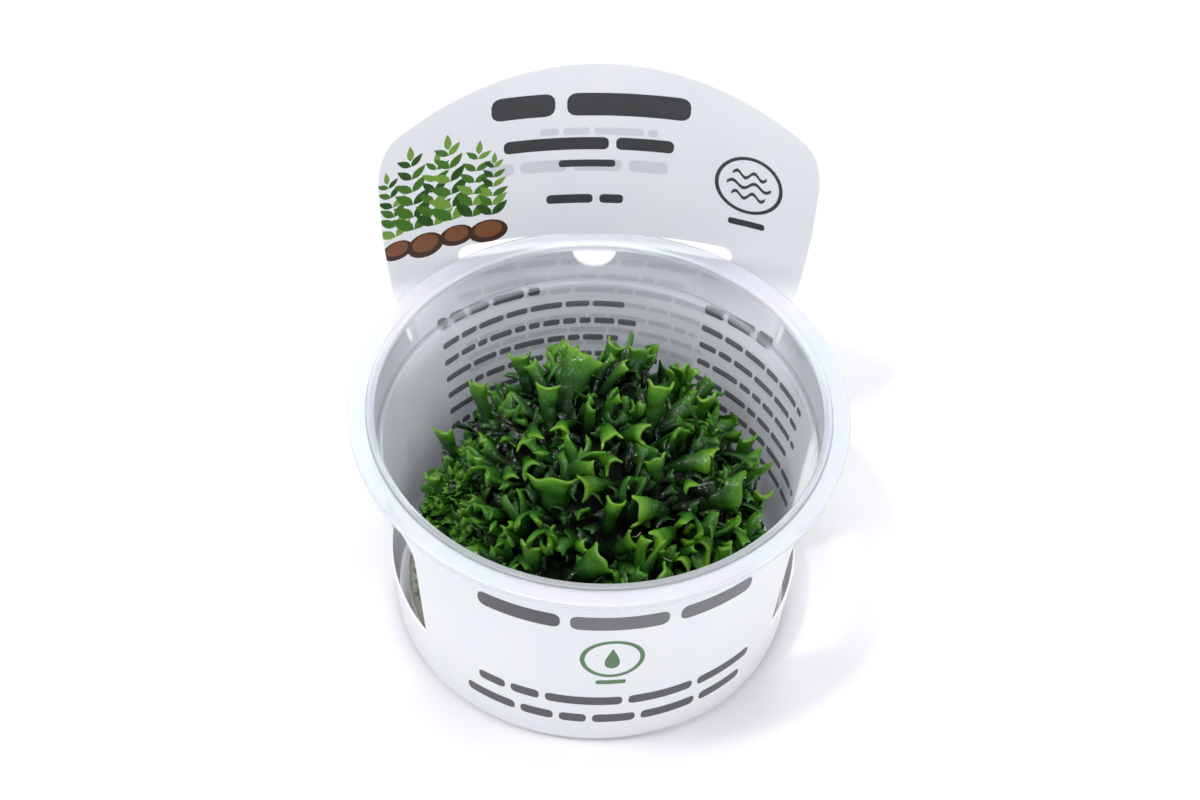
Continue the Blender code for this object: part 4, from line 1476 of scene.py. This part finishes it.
class CUP_OT_undergrowth(Operator):
    """Make the short old lobes that cover the mat, and the fine frills at the left"""

    bl_idname = "culture_cup.undergrowth"
    bl_label = "Undergrowth"

    def execute(self, context):
        plant = context.scene.culture_cup.plant
        draw = random.Random(plant.seed + 3)
        rows, columns = 6, 6
        faces = grid_faces(rows, columns)
        old, frills = Tissue(), Tissue()
        for i, spot in enumerate(half_sphere(plant.undergrowth, draw, 0.5)):
            place = mound_place(spot)
            scale = draw.uniform(0.8, 1.3)
            blade = arching_blade(spot, 5.4 * MM * scale, draw, draw.uniform(0.5, 1.0), 1.2 * MM)
            waist = draw.uniform(0.9, 1.5) * MM * scale
            size = {
                "waist": waist,
                "mouth": waist * draw.uniform(1.2, 1.7),
                "curl": -draw.uniform(1.2, 3.2),
                "uncurl": 0.5,
                "teeth": 3,
                "horn": draw.uniform(0.4, 0.8) * MM * scale,
                "thick": 0.5 * MM,
            }
            # Much darker than the other thalli: partly the old tissue's own colour, partly painted shade of
            # the depths under them.
            shade = -draw.uniform(0.45, 0.75)
            if place[2] >= LOWEST_OLD_LOBE and inside_cup(blade):
                points, growth = lobe(blade, size, rows, columns, i)
                old.add(points, faces, growth, shade)
        for i in range(plant.frills):
            angle = math.radians(draw.gauss(185, 24))
            spot = direction(angle, draw.uniform(0.05, 0.75))
            length = draw.uniform(4.5, 7.0) * MM
            blade = arching_blade(spot, length, draw, draw.uniform(0.0, 0.8), wander=1.6)
            waist = draw.uniform(0.4, 0.75) * MM
            size = {
                "waist": waist,
                "mouth": waist * draw.uniform(1.5, 2.2),
                "curl": draw.choice((-1, 1)) * draw.uniform(1.0, 2.4),
                "uncurl": 0.4,
                "teeth": 3,
                "horn": draw.uniform(0.6, 1.1) * MM,
                "thick": 0.4 * MM,
            }
            shade = draw.uniform(-0.3, -0.02)
            if inside_cup(blade):
                points, growth = lobe(blade, size, rows, columns, i)
                frills.add(points, faces, growth, shade)
        wet, fresh = thallus_finish(context, wet=True), thallus_finish(context)
        add_piece("old_lobes", old.mesh("old_lobes"), ["thallus_mat"], [wet])
        add_piece("fine_frills", frills.mesh("fine_frills"), ["thallus_mat"], [fresh])
        return {"FINISHED"}


class CUP_OT_strands(Operator):
    """Make the long narrow strands at the right rear and the pale hair-thin threads"""

    bl_idname = "culture_cup.strands"
    bl_label = "Strands and Threads"

    def execute(self, context):
        plant = context.scene.culture_cup.plant
        draw = random.Random(plant.seed + 4)
        rows, columns = 14, 4
        faces = grid_faces(rows, columns)
        strands = Tissue()
        for i in range(plant.strands):
            angle = math.radians(draw.uniform(-12, 58))
            spot = direction(angle, draw.uniform(0.15, 0.8))
            length = draw.uniform(11, 17) * MM
            blade = arching_blade(spot, length, draw, draw.uniform(0.75, 1.0), 2 * MM, 1.8)
            waist = draw.uniform(0.5, 0.8) * MM
            size = {
                "waist": waist,
                "mouth": waist * draw.uniform(1.3, 2.0),
                "curl": -draw.uniform(1.6, 3.0),
                "uncurl": 0.5,
                "teeth": 2,
                "horn": 0.9 * MM,
                "thick": 0.5 * MM,
            }
            shade = draw.uniform(-0.3, -0.1)
            if inside_cup(blade):
                points, growth = lobe(blade, size, rows, columns, i)
                strands.add(points, faces, growth, shade)
        fresh = thallus_finish(context)
        add_piece("long_strands", strands.mesh("long_strands"), ["thallus_mat"], [fresh])
        bm = bmesh.new()
        for x, y in THREAD_PLACES:
            start = Vector((x * MM, y * MM, mound_height(x * MM, y * MM) + THREAD_LIFT))
            reach = Vector([draw.uniform(-5, 5), draw.uniform(-5, 2), draw.uniform(-1, 3)]) * MM
            middle = start + reach * 0.5 + Vector((0, 0, -draw.uniform(0.5, 1.5))) * MM
            add_thread(bm, start, middle, start + reach, THREAD_RADIUS)
        threads = write_mesh(bpy.data.meshes.new("pale_threads"), bm)
        add_piece("pale_threads", threads, ["thallus_mat"], [thread_material()])
        return {"FINISHED"}


def add_thread(bm, start, middle, end, radius, steps=12, sides=5):
    """A hair-thin closed tube along a curve."""
    rings = []
    for i in range(steps + 1):
        t = i / steps
        tangent = ((middle - start) * (1 - t) + (end - middle) * t).normalized()
        side = tangent.cross(Vector((0.3, 0.2, 0.9))).normalized()
        up = side.cross(tangent)
        centre = bezier(start, middle, end, t)
        turns = [2 * math.pi * k / sides for k in range(sides)]
        spokes = [(side * math.cos(turn) + up * math.sin(turn)) * radius for turn in turns]
        rings.append([bm.verts.new(centre + spoke) for spoke in spokes])
    for lower, upper in zip(rings, rings[1:]):
        for k in range(sides):
            bm.faces.new((upper[k], upper[(k + 1) % sides], lower[(k + 1) % sides], lower[k]))
    bm.faces.new(rings[0])
    bm.faces.new(rings[-1][::-1])


def thread_material():
    # Rhizoid, a root hair of the plant: a pale thread that catches the light.
    material, tree, sockets, place = new_material("liverwort_rhizoid_grown", IOR=1.45, Roughness=0.35)
    age = add_node(tree, "ShaderNodeTexNoise", {"Vector": place, "Scale": 1 / (3 * MM), "Detail": 1.0})
    add_node(
        tree,
        "ShaderNodeValToRGB",
        {"Fac": age.outputs["Fac"]},
        {"Color": sockets["Base Color"]},
        [(0.3, linear("#6f8a5a")), (0.7, linear("#cfd6bd"))],
    )
    return material


def mat_material():
    # Old liverwort tissue, grown together, soft and dull below the thalli: its almost black green
    # is partly the old tissue's dark colour and partly painted shade of the depths under the thalli.
    material, tree, sockets, place = new_material(
        "liverwort_mat_grown", Roughness=0.7, Specular_IOR_Level=0.15
    )
    clumps = add_node(tree, "ShaderNodeTexNoise", {"Vector": place, "Scale": 1 / (2 * MM), "Detail": 4.0})
    add_node(
        tree,
        "ShaderNodeValToRGB",
        {"Fac": clumps.outputs["Fac"]},
        {"Color": sockets["Base Color"]},
        [(0.35, linear("#040703")), (0.7, linear("#0e2009"))],
    )
    add_node(
        tree,
        "ShaderNodeBump",
        {"Height": clumps.outputs["Fac"], "Strength": 0.6, "Distance": 0.6 * MM},
        {"Normal": sockets["Normal"]},
    )
    return material


class CUP_OT_mat(Operator):
    """Make the dark grown-together mass under the thalli"""

    bl_idname = "culture_cup.mat"
    bl_label = "Dark Mat"

    def execute(self, context):
        bm = bmesh.new()
        bmesh.ops.create_icosphere(bm, subdivisions=6, radius=1)
        whole = bm.verts[:] + bm.edges[:] + bm.faces[:]
        down = (0, 0, -1)
        bmesh.ops.bisect_plane(bm, geom=whole, plane_co=(0, 0, 0), plane_no=down, clear_outer=True)
        for vert in bm.verts:
            spot = vert.co.copy()
            place = Vector(mound_place(spot))
            lumps = sum(noise.noise(place / span) * height for span, height in MAT_LUMPS)
            vert.co = place + spot * ((lumps - MAT_SINK) * float(smoothstep(3 * spot.z)))
            vert.co.z = max(vert.co.z, MOUND_BOTTOM)
        rim = [edge for edge in bm.edges if edge.is_boundary]
        bmesh.ops.contextual_create(bm, geom=rim)
        bmesh.ops.recalc_face_normals(bm, faces=bm.faces)
        mesh = write_mesh(bpy.data.meshes.new("dark_mat"), bm)
        add_piece("dark_mat", mesh, ["thallus_mat"], [mat_material()])
        return {"FINISHED"}


# Stage
class CUP_OT_stage(Operator):
    """Set the floor, the soft studio light and the camera"""

    bl_idname = "culture_cup.stage"
    bl_label = "Stage"

    def execute(self, context):
        stage = context.scene.culture_cup.stage
        make_floor(stage.floor_colour)
        make_lights(context.scene, stage)
        make_camera(context.scene, stage)
        context.scene.view_settings.view_transform = "Standard"
        return {"FINISHED"}


def make_floor(colour):
    # Matt painted board: a plain pale sweep with the faintest mottling.
    material, tree, sockets, place = new_material("floor_matt_paint", Roughness=0.8)
    mottle = add_node(tree, "ShaderNodeTexNoise", {"Vector": place, "Scale": 1 / (60 * MM), "Detail": 2.0})
    add_node(
        tree,
        "ShaderNodeValToRGB",
        {"Fac": mottle.outputs["Fac"]},
        {"Color": sockets["Base Color"]},
        [(0.3, [v * 0.985 for v in colour]), (0.7, colour)],
    )
    bm = bmesh.new()
    bmesh.ops.create_circle(bm, cap_ends=True, segments=96, radius=FLOOR_RADIUS)
    mesh = bpy.data.meshes.new("floor")
    bm.to_mesh(mesh)
    bm.free()
    mesh.materials.append(material)
    floor = bpy.data.objects.new("floor", mesh)
    bpy.context.scene.collection.objects.link(floor)
    floor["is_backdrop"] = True


def make_lights(scene, stage):
    """An even pale surround, broad soft lights above, in front and to either side, and a small key."""
    world = bpy.data.worlds.new("studio")
    world.use_nodes = True
    background = world.node_tree.nodes["Background"]
    background.inputs["Color"].default_value = opaque(linear("#fbfbfc"))
    background.inputs["Strength"].default_value = stage.surround
    scene.world = world
    for name, place, size, share in LAMPS:
        light = bpy.data.lights.new(name, "AREA")
        light.shape = "DISK"
        light.size = size
        light.energy = stage.light_power * share
        lamp = bpy.data.objects.new(name, light)
        lamp.location = place
        lamp.rotation_mode = "QUATERNION"
        lamp.rotation_quaternion = (LAMP_AIM - Vector(place)).to_track_quat("-Z", "Y")
        scene.collection.objects.link(lamp)


def make_camera(scene, stage):
    """The photograph's view: from the front and 48 degrees above, rolled by 2.8 degrees."""
    azimuth, elevation, roll = stage.camera_azimuth, stage.camera_elevation, stage.camera_roll
    level = math.cos(elevation)
    forward = Vector((math.sin(azimuth) * level, math.cos(azimuth) * level, -math.sin(elevation)))
    across = forward.cross(Vector((0, 0, 1))).normalized()
    right = across * math.cos(roll) + across.cross(forward) * math.sin(roll)
    up = right.cross(forward)
    location = Vector(stage.camera_target) - forward * stage.camera_distance
    data = bpy.data.cameras.new("camera")
    data.lens = stage.camera_lens
    data.sensor_width = 36.0
    data.clip_start = 0.01
    camera = bpy.data.objects.new("camera", data)
    turned = Matrix((right, up, -forward)).transposed().to_4x4()
    camera.matrix_world = Matrix.Translation(location) @ turned
    scene.collection.objects.link(camera)
    scene.camera = camera


# Settings
def colour_property(name, description, hex_colour):
    """A colour that the user can change, from its sRGB hex value."""
    return FloatVectorProperty(
        name=name,
        description=description,
        subtype="COLOR",
        size=3,
        min=0.0,
        max=1.0,
        default=linear(hex_colour),
    )


def share_property(name, description, default):
    """A share from 0 to 1."""
    return FloatProperty(name=name, description=description, default=default, subtype="FACTOR", min=0, max=1)


def length_property(name, description, default, least=0.0):
    """A length in metres."""
    return FloatProperty(name=name, description=description, default=default, min=least, unit="LENGTH")


def angle_property(name, description, degrees):
    """An angle, given in degrees."""
    return FloatProperty(
        name=name, description=description, default=math.radians(degrees), subtype="ANGLE"
    )


def count_property(name, description, default, least=0):
    """A whole number."""
    return IntProperty(name=name, description=description, default=default, min=least)


class TubSettings(PropertyGroup):
    segments: count_property("Segments", "Facets round the tub", 160, 24)
    wall: length_property("Wall", "Thickness of the tub's wall", 0.8 * MM, 0.2 * MM)
    haze: share_property("Haze", "Roughness of the clear plastic", 0.1)
    clearness: share_property("Clearness", "Share of light let through", 0.66)
    wall_body: share_property("Wall body", "How much the thin wall shows", 0.08)
    plastic_tint: colour_property("Plastic", "Tint of the clear plastic", "#f0f4fc")


class SleeveSettings(PropertyGroup):
    spacing: length_property("Spacing", "Longest edge on the flat sheet", 1.9 * MM, 0.5 * MM)
    board_colour: colour_property("Board", "The bare white board", "#f0f1f7")
    ink_colour: colour_property("Bold ink", "Headings and bold lines", "#47484b")
    light_ink_colour: colour_property("Light ink", "Running lines", "#6c6e72")
    green_ink_colour: colour_property("Green ink", "The front emblem", "#4d7a4e")


class PlantSettings(PropertyGroup):
    seed: count_property("Seed", "Seed of every random draw", 5)
    forked: count_property("Forked", "Places tried for forked thalli", 420)
    tubes: count_property("Tubes", "Places tried for tube thalli", 460)
    undergrowth: count_property("Undergrowth", "Places tried for old lobes", 900)
    frills: count_property("Frills", "Fine frills tried at the left", 420)
    strands: count_property("Strands", "Long strands tried at the right", 90)
    gel_colour: colour_property("Gel", "The nutrient gel", "#e6e4cf")
    # The base colour's near black is partly painted shade of the depths between the lobes.
    base_colour: colour_property("Base", "Oldest tissue", "#0a1906")
    old_colour: colour_property("Old", "Old tissue", "#15390b")
    middle_colour: colour_property("Middle", "Grown tissue", "#255612")
    young_colour: colour_property("Young", "Young tissue", "#3f7714")
    tip_colour: colour_property("Tip", "Growing tips", "#629322")


class StageSettings(PropertyGroup):
    floor_colour: colour_property("Floor", "The pale floor", "#f4f5f7")
    surround: FloatProperty(
        name="Surround", description="Strength of the pale surround", default=0.44, min=0
    )
    light_power: FloatProperty(
        name="Light", description="Power shared among the soft lights", default=4.4, min=0, unit="POWER"
    )
    camera_azimuth: angle_property("Azimuth", "Camera's heading from +Y", 3.4)
    camera_elevation: angle_property("Elevation", "Camera's height angle", 48.033)
    camera_roll: angle_property("Roll", "Camera's roll", 2.809)
    camera_distance: length_property("Distance", "Camera to target", 536.8 * MM)
    camera_lens: FloatProperty(
        name="Lens", description="Focal length in millimetres", default=81.18, unit="CAMERA"
    )
    camera_target: FloatVectorProperty(
        name="Target",
        description="Point at the picture's centre",
        default=(0.1 * MM, 1.71 * MM, 56.2 * MM),
        subtype="XYZ",
        unit="LENGTH",
    )


class CultureCupSettings(PropertyGroup):
    tub: PointerProperty(type=TubSettings)
    sleeve: PointerProperty(type=SleeveSettings)
    plant: PointerProperty(type=PlantSettings)
    stage: PointerProperty(type=StageSettings)


OPERATORS = (
    CUP_OT_tub,
    CUP_OT_sleeve,
    CUP_OT_gel,
    CUP_OT_mat,
    CUP_OT_large_thalli,
    CUP_OT_forked_thalli,
    CUP_OT_tube_thalli,
    CUP_OT_undergrowth,
    CUP_OT_strands,
    CUP_OT_stage,
)


class CUP_PT_panel(Panel):
    """Lists the cup's pieces and their settings"""

    bl_idname = "CUP_PT_panel"
    bl_label = "Culture Cup"
    bl_space_type = "VIEW_3D"
    bl_region_type = "UI"
    bl_category = "Culture Cup"

    def draw(self, context):
        settings = context.scene.culture_cup
        for group in (settings.tub, settings.sleeve, settings.plant, settings.stage):
            box = self.layout.box()
            for key in group.__annotations__:
                box.prop(group, key)
        for operator in OPERATORS:
            self.layout.operator(operator.bl_idname)


GROUPS = (TubSettings, SleeveSettings, PlantSettings, StageSettings, CultureCupSettings)
CLASSES = (*GROUPS, *OPERATORS, CUP_PT_panel)


def register():
    """Registers the classes and the scene's settings."""
    for cls in CLASSES:
        bpy.utils.register_class(cls)
    bpy.types.Scene.culture_cup = PointerProperty(type=CultureCupSettings)


def unregister():
    """Takes the settings and the classes away again."""
    del bpy.types.Scene.culture_cup
    for cls in reversed(CLASSES):
        bpy.utils.unregister_class(cls)


def main():
    """Makes every piece and the stage."""
    cad_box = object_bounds()
    register()
    for operator in OPERATORS:
        group, name = operator.bl_idname.split(".")
        getattr(getattr(bpy.ops, group), name)()
    boxes = {"cad": cad_box, "visual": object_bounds()}
    {key: [list(corner) for corner in box] for key, box in boxes.items()}


if __name__ == "__main__":
    main()
